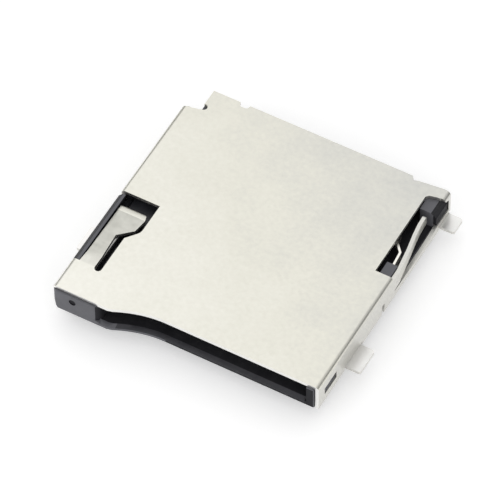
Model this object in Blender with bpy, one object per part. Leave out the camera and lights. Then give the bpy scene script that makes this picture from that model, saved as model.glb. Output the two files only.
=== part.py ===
# Push-push memory card socket for a circuit board, shell up.
#
# Frame: X = 0 is the middle of the shell's width, Y = 0 the line through the two
# locating pegs, Z = 0 the board's surface. The card goes in along +Y, the contact
# tails leave at +Y, and the slider that ejects the card is on the -X side.
# All sizes are millimetres; MM turns them into Blender's metres.
import math

import bmesh
import bpy
from mathutils import Matrix, Vector

MM = 0.001

# Shell sheet, and the wires and strips of the small metal pieces
SHEET = 0.2
BEND = 0.11
STRIP = 0.12
STRIP_BEND = 0.12
PIN_WIRE = 0.26
SPRING_WIRE = 0.16

# Clearances
SEAT_GAP = 0.02
SIDE_GAP = 0.05
SLIDE_GAP = 0.05
STRIP_GAP = 0.02
PIN_GAP = 0.03
SPRING_GAP = 0.065
BLADE_GAP = 0.25
FINGER_GAP = 0.08

# Shell
SHELL_WIDTH = 15.0
SHELL_HEIGHT = 1.75
PEG_TO_FRONT = 3.0
FRONT_STEP = 0.73
CURVE_START = -4.2
CURVE_LENGTH = 2.9
CORNER_EASE = 0.14
PLATE_OVERHANG = 0.48
CARRIER_NOTCH_X = -4.64
CARRIER_NOTCH_WIDTH = 0.58
CARRIER_NOTCH_DEPTH = 0.25
CORNER_WIDTH = 0.97
CORNER_LENGTH = 1.64
RELIEF_DIAMETER = 0.4

# Shell's solder feet
FOOT_REACH = 0.82
FOOT_ROUND = 0.15
FOOT_NOTCH = 0.15
FRONT_FOOT = (-0.1, 1.5)
BACK_FOOT = (10.12, 11.15)
LEG_FOOT = 0.95
LEG_WIDTH = 0.64

# Slots that snap over bumps on the housing: start, length, lower edge, height
LATCH_RIGHT = (-2.35, 1.25, 0.5, 0.48)
LATCH_LEFT_FRONT = (-2.4, 0.8, 0.42, 0.5)
LATCH_LEFT_BACK = (7.6, 0.9, 0.55, 0.35)
BUMP_REACH = 0.14

# Window over the slider, and the leaf that presses the cam pin down
LEAF_ROOT = -1.72
LEAF_LENGTH = 4.32
LEAF_NECK = 0.9
LEAF_HEAD = 1.6
LEAF_HEAD_LENGTH = 1.2
LEAF_GAP = 0.2
LEAF_HEAD_GAP = 0.28
LEAF_CURL = 0.07
SLIDER_WINDOW_BACK = 3.28
SLIDER_WINDOW_SLOT = 0.4
SLIDER_WINDOW_SIDE = 0.85
SLIDER_SIDE_BACK = 3.18

# Window over the card switch, and the finger lanced from the flange
SWITCH_WINDOW = (4.95, 10.5)
SWITCH_WINDOW_WIDTH = 1.04
FINGER_END = 9.5
FINGER_IN = 0.46
POST_WIDTH = 0.28

# Housing
FLOOR = 0.42
FRONT_LIP = 0.12
HOUSING_BACK = 10.85
RIGHT_WALL = 0.6
LEFT_WALL = 0.3
BACK_WALL = 0.57
CAVITY_WIDTH = 11.4
MOUTH_FLARE = 0.2
MOUTH_ROUND = 0.4
NARROW_FRONT = 5.9
RIB_WIDTH = 0.25
FRONT_BLOCK = 0.9
LEAD_IN = 0.25
FOOT_CHAMFER = 0.14
CORNER_CHAMFER = (0.3, 0.6)
WINDOW_RIB_HEIGHT = 0.17
WINDOW_RIB_REACH = 0.2
WINDOW_RIB_SLOPE = (0.12, 0.3)
WINDOW_RIB_GAP = 0.15
BAY_STEP = 0.12
CHEEK_LENGTH = 0.83
CHEEK_REACH = 0.2
BACK_EAR = (0.35, 0.25)
SHOULDER_SLOPE = (0.3, 0.38)
SWITCH_ROOM = (5.9, 9.75)
SWITCH_BLOCK = 0.15
SPRING_WINDOW = (6.57, 10.0)
SPRING_WINDOW_WIDTH = 1.4
NUB = (3.35, 3.95, 0.78)
MARK_DIAMETER = 0.4
MARK_DEPTH = 0.05
MARK_OFFSET = 0.08

# Locating pegs
PEG_X = (4.88, -3.12)
PEG_DIAMETER = 0.8
PEG_LENGTH = 0.75
PEG_ROUND = 0.12

# Contacts
CONTACT_COUNT = 8
CONTACT_PITCH = 1.1
FIRST_CONTACT_X = 5.48
SLOT_FRONT = 4.35
SLOT_LENGTH = 4.64
SLOT_WIDTH = 0.62
STRIP_LEVEL = 0.21
LANE_WIDTH = 0.26
TAIL_WIDTH = 0.4
TAIL_REACH = 0.77
ROOT_WIDTH = 0.5
BEAM_WIDTH = 0.38
TIP_WIDTH = 0.32
TIP_GAP = 0.14
CROWN_FROM_FRONT = 2.85
CROWN_LEVEL = 0.93
TIP_LEVEL = 0.2

# Detect terminal
DETECT_X = 6.75
DETECT_HOLE = (6.12, 6.92, 4.62, 5.54)
BLADE_X = 6.95
BLADE_KICK = 0.55

# Slider
SLIDER_LENGTH = 7.2
SLIDER_THICKNESS = 0.56
SLIDER_TRAVEL = 3.4
CARD_GAP = 0.12
ARM_FRONT = 2.7
ARM_LENGTH = 2.4
ARM_REACH = 1.3
ARM_SLANT = 0.7
HOOK_REACH = 0.25
KEEL_WIDTH = 0.71
KEEL_OFFSET = 1.03
KEEL_LENGTH = 2.77
KEEL_SLOT_LENGTH = 7.6
KEEL_GAP = 0.06
STUD_DIAMETER = 0.5
STUD_LENGTH = 0.8

# Cam pin and its pocket in the slider
PIN_OFFSET = 0.5
PIN_REACH = 5.35
PIN_SWING = 8.5
POCKET_DEPTH = 0.38

# Eject spring
SPRING_TURNS = 17
SPRING_END_TURNS = 1
SPRING_STEPS = 14

# Places that follow from the sizes above
HOUSING_SIDE = SHELL_WIDTH / 2 - SHEET - SIDE_GAP
FLANGE_INSIDE = SHELL_WIDTH / 2 - SHEET
PLATE_UNDER = SHELL_HEIGHT - SHEET
HOUSING_TOP = PLATE_UNDER - SEAT_GAP
FINGER_TOP = PLATE_UNDER - FINGER_GAP
BLADE_HIGH = PLATE_UNDER - BLADE_GAP
BLADE_LOW = FLOOR + 0.72 * BLADE_GAP
SPRING_DIAMETER = PLATE_UNDER - FLOOR - 2 * SPRING_GAP
SHELL_FRONT = -PEG_TO_FRONT
SHELL_BACK = HOUSING_BACK + PLATE_OVERHANG
CHANNEL_FRONT = SHELL_FRONT - FRONT_STEP - FRONT_LIP + FRONT_BLOCK
CAVITY_RIGHT = HOUSING_SIDE - RIGHT_WALL
CAVITY_LEFT = CAVITY_RIGHT - CAVITY_WIDTH
CAVITY_BACK = HOUSING_BACK - BACK_WALL
CHANNEL_LEFT = -HOUSING_SIDE + LEFT_WALL
SLIDER_LEFT = CHANNEL_LEFT + SLIDE_GAP
SLIDER_RIGHT = CAVITY_LEFT - CARD_GAP
SLIDER_FRONT = CHANNEL_FRONT + SLIDE_GAP
SLIDER_BACK = SLIDER_FRONT + SLIDER_LENGTH
SLIDER_UNDER = FLOOR + SEAT_GAP
SLIDER_DECK = SLIDER_UNDER + SLIDER_THICKNESS
CHANNEL_BACK = SLIDER_BACK + SLIDER_TRAVEL + 4 * SLIDE_GAP
SPRING_X = CAVITY_LEFT + SPRING_DIAMETER / 2
SPRING_Z = (FLOOR + PLATE_UNDER) / 2
SPRING_FRONT = SLIDER_FRONT + ARM_FRONT + ARM_LENGTH
SLOT_BACK = SLOT_FRONT + SLOT_LENGTH
PIVOT_X = SLIDER_LEFT + PIN_OFFSET
PIVOT_Y = CHANNEL_FRONT - FRONT_BLOCK / 2
PIN_END_Y = PIVOT_Y + PIN_REACH
PIN_LEVEL = SLIDER_DECK + PIN_GAP + PIN_WIRE / 2
POCKET_FLOOR = SLIDER_DECK - POCKET_DEPTH
LEAF_LEVEL = PIN_LEVEL + PIN_WIRE / 2 + PIN_GAP + SHEET / 2
LEAF_LEFT = -FLANGE_INSIDE + LEAF_GAP
LEAF_END = LEAF_ROOT + LEAF_LENGTH
RIB_RIGHT = LEAF_LEFT - WINDOW_RIB_GAP
RIB_LEFT = -HOUSING_SIDE - WINDOW_RIB_REACH
CHEEK_BACK = SHELL_FRONT - FRONT_STEP - FRONT_LIP + CHEEK_LENGTH
CORNER_X = -SHELL_WIDTH / 2 + CORNER_WIDTH
CORNER_Y = SHELL_BACK - CORNER_LENGTH

# How far a cutter reaches past what it cuts
PAST = 1.0

# Materials: name, colour, metallic, roughness
SHELL_METAL = ("tinned_steel", (0.72, 0.71, 0.68), 1.0, 0.35)
HOUSING_PLASTIC = ("black_plastic", (0.05, 0.052, 0.06), 0.0, 0.5)
SLIDER_PLASTIC = ("slider_plastic", (0.035, 0.036, 0.042), 0.0, 0.5)
CONTACT_METAL = ("plated_bronze", (0.86, 0.84, 0.78), 1.0, 0.25)
WIRE_METAL = ("spring_steel", (0.75, 0.74, 0.72), 1.0, 0.25)


def clear_scene():
    for obj in list(bpy.data.objects):
        bpy.data.objects.remove(obj, do_unlink=True)


def material(recipe):
    name, colour, metallic, roughness = recipe
    made = bpy.data.materials.get(name)
    if made is None:
        made = bpy.data.materials.new(name)
        made.use_nodes = True
        shader = made.node_tree.nodes["Principled BSDF"]
        shader.inputs["Base Color"].default_value = (*colour, 1.0)
        shader.inputs["Metallic"].default_value = metallic
        shader.inputs["Roughness"].default_value = roughness
    return made


def place(axis, u, v, along):
    """The point whose section coordinates are u and v, at a place along the axis."""
    if axis == "X":
        return Vector((along, u, v)) * MM
    if axis == "Y":
        return Vector((u, along, v)) * MM
    return Vector((u, v, along)) * MM


def link(name, mesh):
    obj = bpy.data.objects.new(name, mesh)
    bpy.context.scene.collection.objects.link(obj)
    return obj


def solid(name, rings):
    """A closed body through rings of points, with a face over each end."""
    bm = bmesh.new()
    made = [[bm.verts.new(point) for point in ring] for ring in rings]
    bm.faces.new(made[0])
    bm.faces.new(made[-1])
    count = len(made[0])
    for one, two in zip(made, made[1:]):
        for i in range(count):
            j = (i + 1) % count
            bm.faces.new((one[i], one[j], two[j], two[i]))
    bmesh.ops.recalc_face_normals(bm, faces=bm.faces)
    mesh = bpy.data.meshes.new(name)
    bm.to_mesh(mesh)
    bm.free()
    return link(name, mesh)


def prism(name, outline, axis, low, high):
    """A straight extrusion of a closed outline from low to high along the axis."""
    return solid(name, [[place(axis, u, v, along) for u, v in outline] for along in (low, high)])


def block(name, x, y, z):
    """A box between two values along each axis."""
    outline = [(x[0], y[0]), (x[1], y[0]), (x[1], y[1]), (x[0], y[1])]
    return prism(name, outline, "Z", z[0], z[1])


def arc(centre, radius, start, end, steps):
    """Points on an arc, both ends included, with the angles in degrees."""
    angles = [math.radians(start + (end - start) * i / steps) for i in range(steps + 1)]
    return [(centre[0] + radius * math.cos(a), centre[1] + radius * math.sin(a)) for a in angles]


def rod(name, centre, radius, axis, low, high, rounded=0.0, sides=20):
    """A round rod along an axis, with its low end rounded."""
    levels = [(low, radius), (high, radius)]
    if rounded > 0:
        levels = [
            (low, radius - rounded),
            (low + 0.3 * rounded, radius - 0.3 * rounded),
            (low + rounded, radius),
            (high, radius),
        ]
    rings = []
    for along, ring_radius in levels:
        circle = arc(centre, ring_radius, 0, 360, sides)[:-1]
        rings.append([place(axis, u, v, along) for u, v in circle])
    return solid(name, rings)


def bent_line(points, radius, steps=4):
    """Points and headings along a line whose corners are rounded to a radius."""
    places = [Vector(point) for point in points]
    found = [(places[0], (places[1] - places[0]).normalized())]
    for before, here, after in zip(places, places[1:], places[2:]):
        way_in = (here - before).normalized()
        way_out = (after - here).normalized()
        turn = -way_in.angle_signed(way_out)
        side = Vector((-way_in.y, way_in.x)) * math.copysign(radius, turn)
        centre = here - way_in * radius * math.tan(abs(turn) / 2) + side
        for i in range(steps + 1):
            rotation = Matrix.Rotation(turn * i / steps, 2)
            found.append((centre - rotation @ side, rotation @ way_in))
    found.append((places[-1], (places[-1] - places[-2]).normalized()))
    return found


def strip(name, points, thickness, radius, axis, low, high):
    """Sheet bent along a centre line, and as wide along the axis as low to high."""
    one_side = []
    other_side = []
    for point, heading in bent_line(points, radius):
        normal = Vector((-heading.y, heading.x)) * thickness / 2
        one_side.append(tuple(point + normal))
        other_side.append(tuple(point - normal))
    return prism(name, one_side + other_side[::-1], axis, low, high)


def ribbon(name, stations, thickness, grow=0.0):
    """A flat strip through stations: (x, y) of its one edge, of its other edge, and its level."""
    half = thickness / 2 + grow
    rings = []
    for one, other, level in stations:
        outward = (Vector(one) - Vector(other)).normalized() * grow
        a = Vector(one) + outward
        b = Vector(other) - outward
        corners = [(a, level - half), (b, level - half), (b, level + half), (a, level + half)]
        rings.append([place("Z", point.x, point.y, z) for point, z in corners])
    return solid(name, rings)


def combine(target, tool, operation):
    """A Boolean between two solids that leaves only the target."""
    modifier = target.modifiers.new("boolean", "BOOLEAN")
    modifier.operation = operation
    modifier.solver = "EXACT"
    modifier.object = tool
    bpy.context.view_layer.update()
    graph = bpy.context.evaluated_depsgraph_get()
    mesh = bpy.data.meshes.new_from_object(target.evaluated_get(graph))
    target.modifiers.clear()
    target.data = mesh
    bpy.data.objects.remove(tool, do_unlink=True)


def cut(target, *tools):
    for tool in tools:
        combine(target, tool, "DIFFERENCE")


def add(target, *tools):
    for tool in tools:
        combine(target, tool, "UNION")


def keep_inside(target, tool):
    combine(target, tool, "INTERSECT")


def finish(obj, name, recipe, smooth_angle=35.0):
    """The node's name, its material and its shading."""
    obj.name = name
    obj.data.name = name
    obj.data.materials.clear()
    obj.data.materials.append(material(recipe))
    obj.data.shade_smooth()
    obj.data.set_sharp_from_angle(angle=math.radians(smooth_angle))
    return obj


def set_origin(obj, point):
    """Moves the object's origin to a point of the part, and leaves its shape in place."""
    shift = Vector(point) * MM
    for vertex in obj.data.vertices:
        vertex.co -= shift
    obj.location = shift


def front_line(x):
    """The shell's front edge: straight by the slider, an arc, straight before the card."""
    part = min(max((x - CURVE_START) / CURVE_LENGTH, 0.0), 1.0)
    return SHELL_FRONT - FRONT_STEP * (1.0 - part) ** 2


def front_samples(low, high, steps=10):
    """Places across, from low to high, with enough of them on the arc and its eased corner."""
    arc_places = [CURVE_START + CURVE_LENGTH * i / steps for i in range(1, steps + 1)]
    inner = [CURVE_START - CORNER_EASE, CURVE_START + CORNER_EASE] + arc_places
    return [low] + [x for x in sorted(inner) if low < x < high] + [high]


def front_sweep(name, section, low, high):
    """A solid whose section, as (y from the shell's front edge, z), follows that edge."""
    rings = []
    for x in front_samples(low, high):
        rings.append([place("Z", x, front_line(x) + y, z) for y, z in section])
    return solid(name, rings)


def contact_x(index):
    """Where a contact's slot lies across; the first is nearest the +X side."""
    return FIRST_CONTACT_X - index * CONTACT_PITCH


def tail_stations(tail_x, lane_x):
    """A tail on the board, its step up, and the jog to the lane that it runs in."""
    tail = TAIL_WIDTH / 2
    lane = LANE_WIDTH / 2
    ground = STRIP / 2
    end = HOUSING_BACK + TAIL_REACH
    bend_low = HOUSING_BACK + 0.1
    bend_high = HOUSING_BACK - 0.25
    jog = HOUSING_BACK - 0.75
    lane_start = HOUSING_BACK - 1.15
    lag = 0.15 * (1 if lane_x < tail_x else -1)
    return [
        ((tail_x + tail, end), (tail_x - tail, end), ground),
        ((tail_x + tail, bend_low), (tail_x - tail, bend_low), ground),
        ((tail_x + tail, bend_high), (tail_x - tail, bend_high), STRIP_LEVEL),
        ((tail_x + tail, jog - lag / 2), (tail_x - tail, jog + lag / 2), STRIP_LEVEL),
        ((lane_x + lane, lane_start - lag / 2), (lane_x - lane, lane_start + lag / 2), STRIP_LEVEL),
    ]


def contact_base(index):
    """A contact as far as its root: tail, lane beside the slot, and the turn at its front."""
    x = contact_x(index)
    lane_x = x - CONTACT_PITCH / 2
    lane = LANE_WIDTH / 2
    root = ROOT_WIDTH / 2
    inner = SLOT_FRONT - 0.3
    outer = SLOT_FRONT - 0.6
    return tail_stations(x, lane_x) + [
        ((lane_x + lane, inner), (lane_x - lane, outer), STRIP_LEVEL),
        ((x - root, inner), (x + root, outer), STRIP_LEVEL),
        ((x - root, SLOT_FRONT + 0.1), (x + root, SLOT_FRONT + 0.1), STRIP_LEVEL),
    ]


def contact_beam(index):
    """The part of a contact that flexes: it rises to the crown and falls to its free tip."""
    x = contact_x(index)
    crown = SLOT_FRONT + CROWN_FROM_FRONT
    end = SLOT_BACK - TIP_GAP
    rise = CROWN_LEVEL - STRIP_LEVEL
    profile = [
        (SLOT_FRONT + 0.75, ROOT_WIDTH, STRIP_LEVEL + 0.12 * rise),
        (SLOT_FRONT + 0.95, BEAM_WIDTH, STRIP_LEVEL + 0.19 * rise),
        (crown - 0.3, BEAM_WIDTH, CROWN_LEVEL - 0.07 * rise),
        (crown, BEAM_WIDTH, CROWN_LEVEL),
        (crown + 0.25, BEAM_WIDTH, CROWN_LEVEL - 0.07 * rise),
        (end - 0.12, TIP_WIDTH, TIP_LEVEL + 0.05),
        (end, TIP_WIDTH / 2, TIP_LEVEL),
    ]
    return [((x - width / 2, y), (x + width / 2, y), level) for y, width, level in profile]


def build_contact(index):
    """One strip from the solder tail, forward beside its slot, round its front and up to the card."""
    body = ribbon("contact", contact_base(index) + contact_beam(index), STRIP)
    return finish(body, f"contact_{index + 1}", CONTACT_METAL)


def detect_base():
    """The detect terminal's flat part, from its tail to the hole in the floor."""
    lane = LANE_WIDTH / 2
    front = DETECT_HOLE[2] + 0.1
    return tail_stations(DETECT_X - 0.15, DETECT_X) + [
        ((DETECT_X + lane, front), (DETECT_X - lane, front), STRIP_LEVEL)
    ]


def build_detect_terminal():
    """One strip that folds up at the floor's hole into the blade that a card pushes aside."""
    hole_left = DETECT_HOLE[0]
    hole_front, hole_back = DETECT_HOLE[2:]
    body = ribbon("detect", detect_base(), STRIP)
    front = hole_front + 0.1
    level = (STRIP_LEVEL - STRIP / 2, STRIP_LEVEL + STRIP / 2)
    add(body, block("pad", (hole_left + STRIP_GAP, DETECT_X), (front, front + 0.3), level))
    fold = [(DETECT_X, STRIP_LEVEL), (BLADE_X, STRIP_LEVEL), (BLADE_X, BLADE_HIGH)]
    fold_front = front + 0.25
    add(body, strip("riser", fold, STRIP, STRIP_BEND, "Y", fold_front, hole_back))
    kink = NARROW_FRONT + 1.0
    blade = [
        (BLADE_X, fold_front + 0.1),
        (BLADE_X, NARROW_FRONT),
        (BLADE_X - 0.08, kink),
        (BLADE_X - 0.08 - BLADE_KICK, kink + 0.62),
        (BLADE_X - 0.12 - BLADE_KICK, kink + 1.2),
    ]
    add(body, strip("blade", blade, STRIP, STRIP_BEND, "Z", BLADE_LOW, BLADE_HIGH))
    return finish(body, "detect_terminal", CONTACT_METAL)


def leaf(name, grow=0.0):
    """The shell's leaf over the slider: a narrow neck that dips, a wider head and a curled end."""
    neck_end = LEAF_END - LEAF_HEAD_LENGTH - 0.7
    top = SHELL_HEIGHT - SHEET / 2
    drop = top - LEAF_LEVEL
    right = LEAF_LEFT + LEAF_NECK
    head_right = LEAF_LEFT + LEAF_HEAD
    profile = [
        (LEAF_ROOT - 0.3, LEAF_LEFT, right, top),
        (LEAF_ROOT, LEAF_LEFT, right, top),
        (LEAF_ROOT + 0.8, LEAF_LEFT, right - 0.05, top - 0.6 * drop),
        (neck_end, LEAF_LEFT, right - 0.16, top - 0.85 * drop),
        (LEAF_END - LEAF_HEAD_LENGTH, LEAF_LEFT, head_right - 0.12, top - 0.93 * drop),
        (LEAF_END - 0.38, LEAF_LEFT, head_right, top - 0.97 * drop),
        (LEAF_END - 0.1, LEAF_LEFT, head_right - 0.08, LEAF_LEVEL - 0.2 * LEAF_CURL),
        (LEAF_END, LEAF_LEFT + 0.05, head_right - 0.18, LEAF_LEVEL - LEAF_CURL),
    ]
    stations = [((left, y), (right, y), level) for y, left, right, level in profile]
    return ribbon(name, stations, SHEET, grow)


def slider_window():
    """The cutter of the window over the slider, with the round-ended slot beside the leaf."""
    left = -SHELL_WIDTH / 2 - PAST
    neck_right = LEAF_LEFT + LEAF_NECK
    slot_right = neck_right + SLIDER_WINDOW_SLOT
    wide = LEAF_LEFT + LEAF_HEAD + LEAF_HEAD_GAP
    slot_middle = neck_right + SLIDER_WINDOW_SLOT / 2
    slot_end = arc((slot_middle, LEAF_ROOT), SLIDER_WINDOW_SLOT / 2, 180, 360, 6)
    head_front = LEAF_END - LEAF_HEAD_LENGTH - 0.8
    outline = [(left, LEAF_ROOT)] + slot_end + [
        (slot_right, head_front),
        (wide - 0.1, head_front + 0.6),
        (wide - 0.03, head_front + 0.72),
        (wide, head_front + 0.9),
        (wide, SLIDER_WINDOW_BACK),
        (left, SLIDER_WINDOW_BACK),
    ]
    return prism("slider_window", outline, "Z", PLATE_UNDER - SHEET, SHELL_HEIGHT + PAST)


def slider_window_side():
    """The cutter that carries the slider window down the -X flange."""
    outline = [
        (LEAF_ROOT, SLIDER_WINDOW_SIDE),
        (LEAF_ROOT, SHELL_HEIGHT + PAST),
        (SLIDER_SIDE_BACK, SHELL_HEIGHT + PAST),
        (SLIDER_SIDE_BACK, SLIDER_WINDOW_SIDE),
    ]
    return flange_cut(outline, -1)


def switch_window():
    """The cutter of the window over the card switch, which runs out over the flange."""
    front, back = SWITCH_WINDOW
    left = SHELL_WIDTH / 2 - SWITCH_WINDOW_WIDTH
    outline = [
        (left, front),
        (SHELL_WIDTH / 2 + PAST, front),
        (SHELL_WIDTH / 2 + PAST, back + 0.22),
        (left + 0.55, back + 0.16),
        (left + 0.14, back + 0.06),
        (left, back - 0.1),
    ]
    return prism("switch_window", outline, "Z", FINGER_TOP, SHELL_HEIGHT + PAST)


def finger_edge():
    """The finger's lower edge, as (y, z) from its root to its tip."""
    root = SWITCH_WINDOW[0] + 0.1
    return [
        (root, 0.5),
        (root + 0.6, 0.58),
        (root + 1.35, 0.72),
        (root + 2.15, 0.84),
        (root + 3.0, 0.87),
        (root + 3.9, 0.84),
        (FINGER_END - 0.1, 0.85),
    ]


def flange_edge():
    """The flange's upper edge below the finger, as (y, z) from its root to the back post."""
    root = SWITCH_WINDOW[0] + 0.2
    return [
        (root, 0.46),
        (root + 0.5, 0.43),
        (root + 2.0, 0.38),
        (root + 3.2, 0.38),
        (root + 4.1, 0.43),
        (root + 4.6, 0.55),
        (SHELL_BACK - POST_WIDTH, 0.57),
    ]


def finger_room():
    """The cutter that frees the finger from the +X flange, and opens the flange behind it."""
    window_back = SWITCH_WINDOW[1] + 0.2
    root = flange_edge()[0][0]
    outline = flange_edge() + [
        (SHELL_BACK - POST_WIDTH, FINGER_TOP - 0.12),
        (window_back, FINGER_TOP + 0.1),
        (window_back, FINGER_TOP + PAST),
        (root, FINGER_TOP + PAST),
    ]
    return prism("finger_room", outline, "X", FLANGE_INSIDE - SHEET / 2, SHELL_WIDTH / 2 + PAST)


def finger():
    """The strip lanced from the flange, bent in towards the detect terminal."""
    middle = SHELL_WIDTH / 2 - SHEET / 2
    root = SWITCH_WINDOW[0]
    path = [
        (middle, root - 0.1),
        (middle, root + 0.75),
        (middle - 0.4 * FINGER_IN, root + 2.2),
        (middle - 0.77 * FINGER_IN, root + 3.17),
        (middle - 0.96 * FINGER_IN, root + 3.87),
        (middle - FINGER_IN, FINGER_END - 0.2),
        (middle - FINGER_IN, FINGER_END),
    ]
    body = strip("finger", path, SHEET, BEND, "Z", 0.0, FINGER_TOP)
    edge = finger_edge()
    outline = [(root - 0.2, edge[0][1])] + edge + [
        (FINGER_END + 0.05, edge[-1][1] + 0.12),
        (FINGER_END + 0.05, FINGER_TOP - 0.12),
        (FINGER_END - 0.1, FINGER_TOP),
        (root - 0.2, FINGER_TOP),
    ]
    keep_inside(body, prism("finger_shape", outline, "X", 0.0, SHELL_WIDTH))
    return body


def flange_cut(outline, side):
    """A cutter through one side flange, from an outline as (y, z)."""
    low = FLANGE_INSIDE - SHEET / 2
    high = SHELL_WIDTH / 2 + PAST
    if side > 0:
        return prism("flange_cut", outline, "X", low, high)
    return prism("flange_cut", outline, "X", -high, -low)


def latch_slot(latch, side):
    start, length, low, height = latch
    outline = [(start, low), (start + length, low), (start + length, low + height), (start, low + height)]
    return flange_cut(outline, side)


def foot_room(front, back, side):
    """Clears the flange's lower edge for a foot, with a notch at each end of its bend."""
    height = 1.5 * SHEET
    outline = [
        (front - FOOT_NOTCH, -PAST),
        (front - FOOT_NOTCH, height),
        (back + FOOT_NOTCH, height),
        (back + FOOT_NOTCH, -PAST),
    ]
    return flange_cut(outline, side)


def foot(front, back, side):
    """A solder foot bent outwards from a flange's lower edge, with its outer corners round."""
    middle = SHELL_WIDTH / 2 - SHEET / 2
    end = SHELL_WIDTH / 2 + FOOT_REACH
    path = [(side * middle, 2.5 * SHEET), (side * middle, SHEET / 2), (side * (end + SHEET), SHEET / 2)]
    body = strip("foot", path, SHEET, BEND, "Y", front - SHEET, back + SHEET)
    front_corner = arc((end - FOOT_ROUND, front + FOOT_ROUND), FOOT_ROUND, 270, 360, 5)
    back_corner = arc((end - FOOT_ROUND, back - FOOT_ROUND), FOOT_ROUND, 0, 90, 5)
    outline = [(middle - SHEET, front)] + front_corner + back_corner + [(middle - SHEET, back)]
    keep_inside(body, prism("foot_shape", [(side * x, y) for x, y in outline], "Z", -PAST, PAST))
    return body


def back_edge():
    """The cutter behind the shell's back edge, which also takes the corner over the leg."""
    wide = SHELL_WIDTH / 2 + PAST
    far = SHELL_BACK + PAST
    notch_right = CARRIER_NOTCH_X + CARRIER_NOTCH_WIDTH / 2
    notch_left = CARRIER_NOTCH_X - CARRIER_NOTCH_WIDTH / 2
    notch_front = SHELL_BACK - CARRIER_NOTCH_DEPTH
    right = SHELL_WIDTH / 2
    outline = [
        (wide, far),
        (wide, SHELL_BACK - 0.06),
        (right, SHELL_BACK - 0.06),
        (right - 0.37, SHELL_BACK),
        (right - 1.85, SHELL_BACK - 0.17),
        (right - 2.07, SHELL_BACK - 0.24),
        (right - 2.25, SHELL_BACK),
        (notch_right, SHELL_BACK),
        (notch_right - 0.07, notch_front + 0.05),
        (notch_right - 0.17, notch_front),
        (notch_left + 0.17, notch_front),
        (notch_left + 0.07, notch_front + 0.05),
        (notch_left, SHELL_BACK),
        (CORNER_X, SHELL_BACK),
        (CORNER_X, CORNER_Y + 0.26),
        (CORNER_X - 0.07, CORNER_Y + 0.18),
        (-right, CORNER_Y),
        (-wide, CORNER_Y),
        (-wide, far),
    ]
    return prism("back_edge", outline, "Z", -PAST, SHELL_HEIGHT + PAST)


def build_shell():
    """One folded sheet: plate, two flanges, leaf, finger, three feet and a leg with a foot."""
    middle = SHELL_WIDTH / 2 - SHEET / 2
    deck = SHELL_HEIGHT - SHEET / 2
    front = SHELL_FRONT - FRONT_STEP - PAST
    fold = [(-middle, 0.0), (-middle, deck), (middle, deck), (middle, 0.0)]
    body = strip("shell", fold, SHEET, BEND, "Y", front, SHELL_BACK + PAST / 2)
    wide = SHELL_WIDTH / 2 + PAST
    ahead = [(0.0, -PAST), (0.0, SHELL_HEIGHT + PAST), (-3 * PAST, SHELL_HEIGHT + PAST), (-3 * PAST, -PAST)]
    cut(body, front_sweep("front_edge", ahead, -wide, wide))
    cut(body, back_edge())
    relief = (CORNER_X + 0.07, CORNER_Y + 0.43)
    relief_height = (PLATE_UNDER - SHEET, SHELL_HEIGHT + PAST)
    cut(body, rod("relief", relief, RELIEF_DIAMETER / 2, "Z", *relief_height, sides=16))
    cut(body, slider_window(), slider_window_side(), switch_window(), finger_room())

    # Lower edges of the flanges: notches, the room of the front cheek and the rooms of the feet
    cut(body, flange_cut([(3.66, -PAST), (3.78, 0.68), (4.04, 0.68), (3.94, -PAST)], 1))
    nub_front, nub_back, nub_top = NUB
    nub = [(nub_front, -PAST), (nub_front, nub_top), (nub_back, nub_top), (nub_back, -PAST)]
    cut(body, flange_cut(nub, -1))
    ahead_of_cheek = SHELL_FRONT - FRONT_STEP - PAST
    behind_cheek = CHEEK_BACK + SIDE_GAP
    cheek_room = [
        (ahead_of_cheek, -PAST),
        (ahead_of_cheek, PLATE_UNDER),
        (behind_cheek, PLATE_UNDER),
        (behind_cheek, -PAST),
    ]
    cut(body, flange_cut(cheek_room, -1))
    cut(body, foot_room(*FRONT_FOOT, 1), foot_room(*FRONT_FOOT, -1), foot_room(*BACK_FOOT, 1))
    cut(body, latch_slot(LATCH_RIGHT, 1), latch_slot(LATCH_LEFT_FRONT, -1), latch_slot(LATCH_LEFT_BACK, -1))

    # What is folded out of the sheet again
    add(body, foot(*FRONT_FOOT, 1), foot(*FRONT_FOOT, -1), foot(*BACK_FOOT, 1))
    add(body, finger(), leaf("leaf"))
    leg_y = CORNER_Y + SHEET / 2
    leg = [(leg_y - 0.5, deck), (leg_y, deck), (leg_y, SHEET / 2), (leg_y + LEG_FOOT, SHEET / 2)]
    leg_left = -HOUSING_SIDE + 0.01
    add(body, strip("leg", leg, SHEET, BEND, "X", leg_left, leg_left + LEG_WIDTH))
    return finish(body, "shell", SHELL_METAL)


def housing_outline():
    """The moulding seen from above: curved front, cheek, ear, and the back corner left out for the leg."""
    cheek = -HOUSING_SIDE - CHEEK_REACH
    front = [(x, front_line(x) - FRONT_LIP) for x in front_samples(cheek + 0.15, HOUSING_SIDE)]
    corner_front = SHELL_FRONT - FRONT_STEP
    corner_x = -HOUSING_SIDE + LEG_WIDTH + SIDE_GAP + 0.01
    corner_y = CORNER_Y - 0.19
    ear_width, ear_length = BACK_EAR
    return [(-HOUSING_SIDE, CHEEK_BACK), (cheek, CHEEK_BACK), (cheek, corner_front)] + front + [
        (HOUSING_SIDE, HOUSING_BACK + ear_length),
        (HOUSING_SIDE - ear_width, HOUSING_BACK + ear_length),
        (HOUSING_SIDE - ear_width, HOUSING_BACK),
        (corner_x, HOUSING_BACK),
        (corner_x, corner_y),
        (-HOUSING_SIDE, corner_y),
    ]


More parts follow.
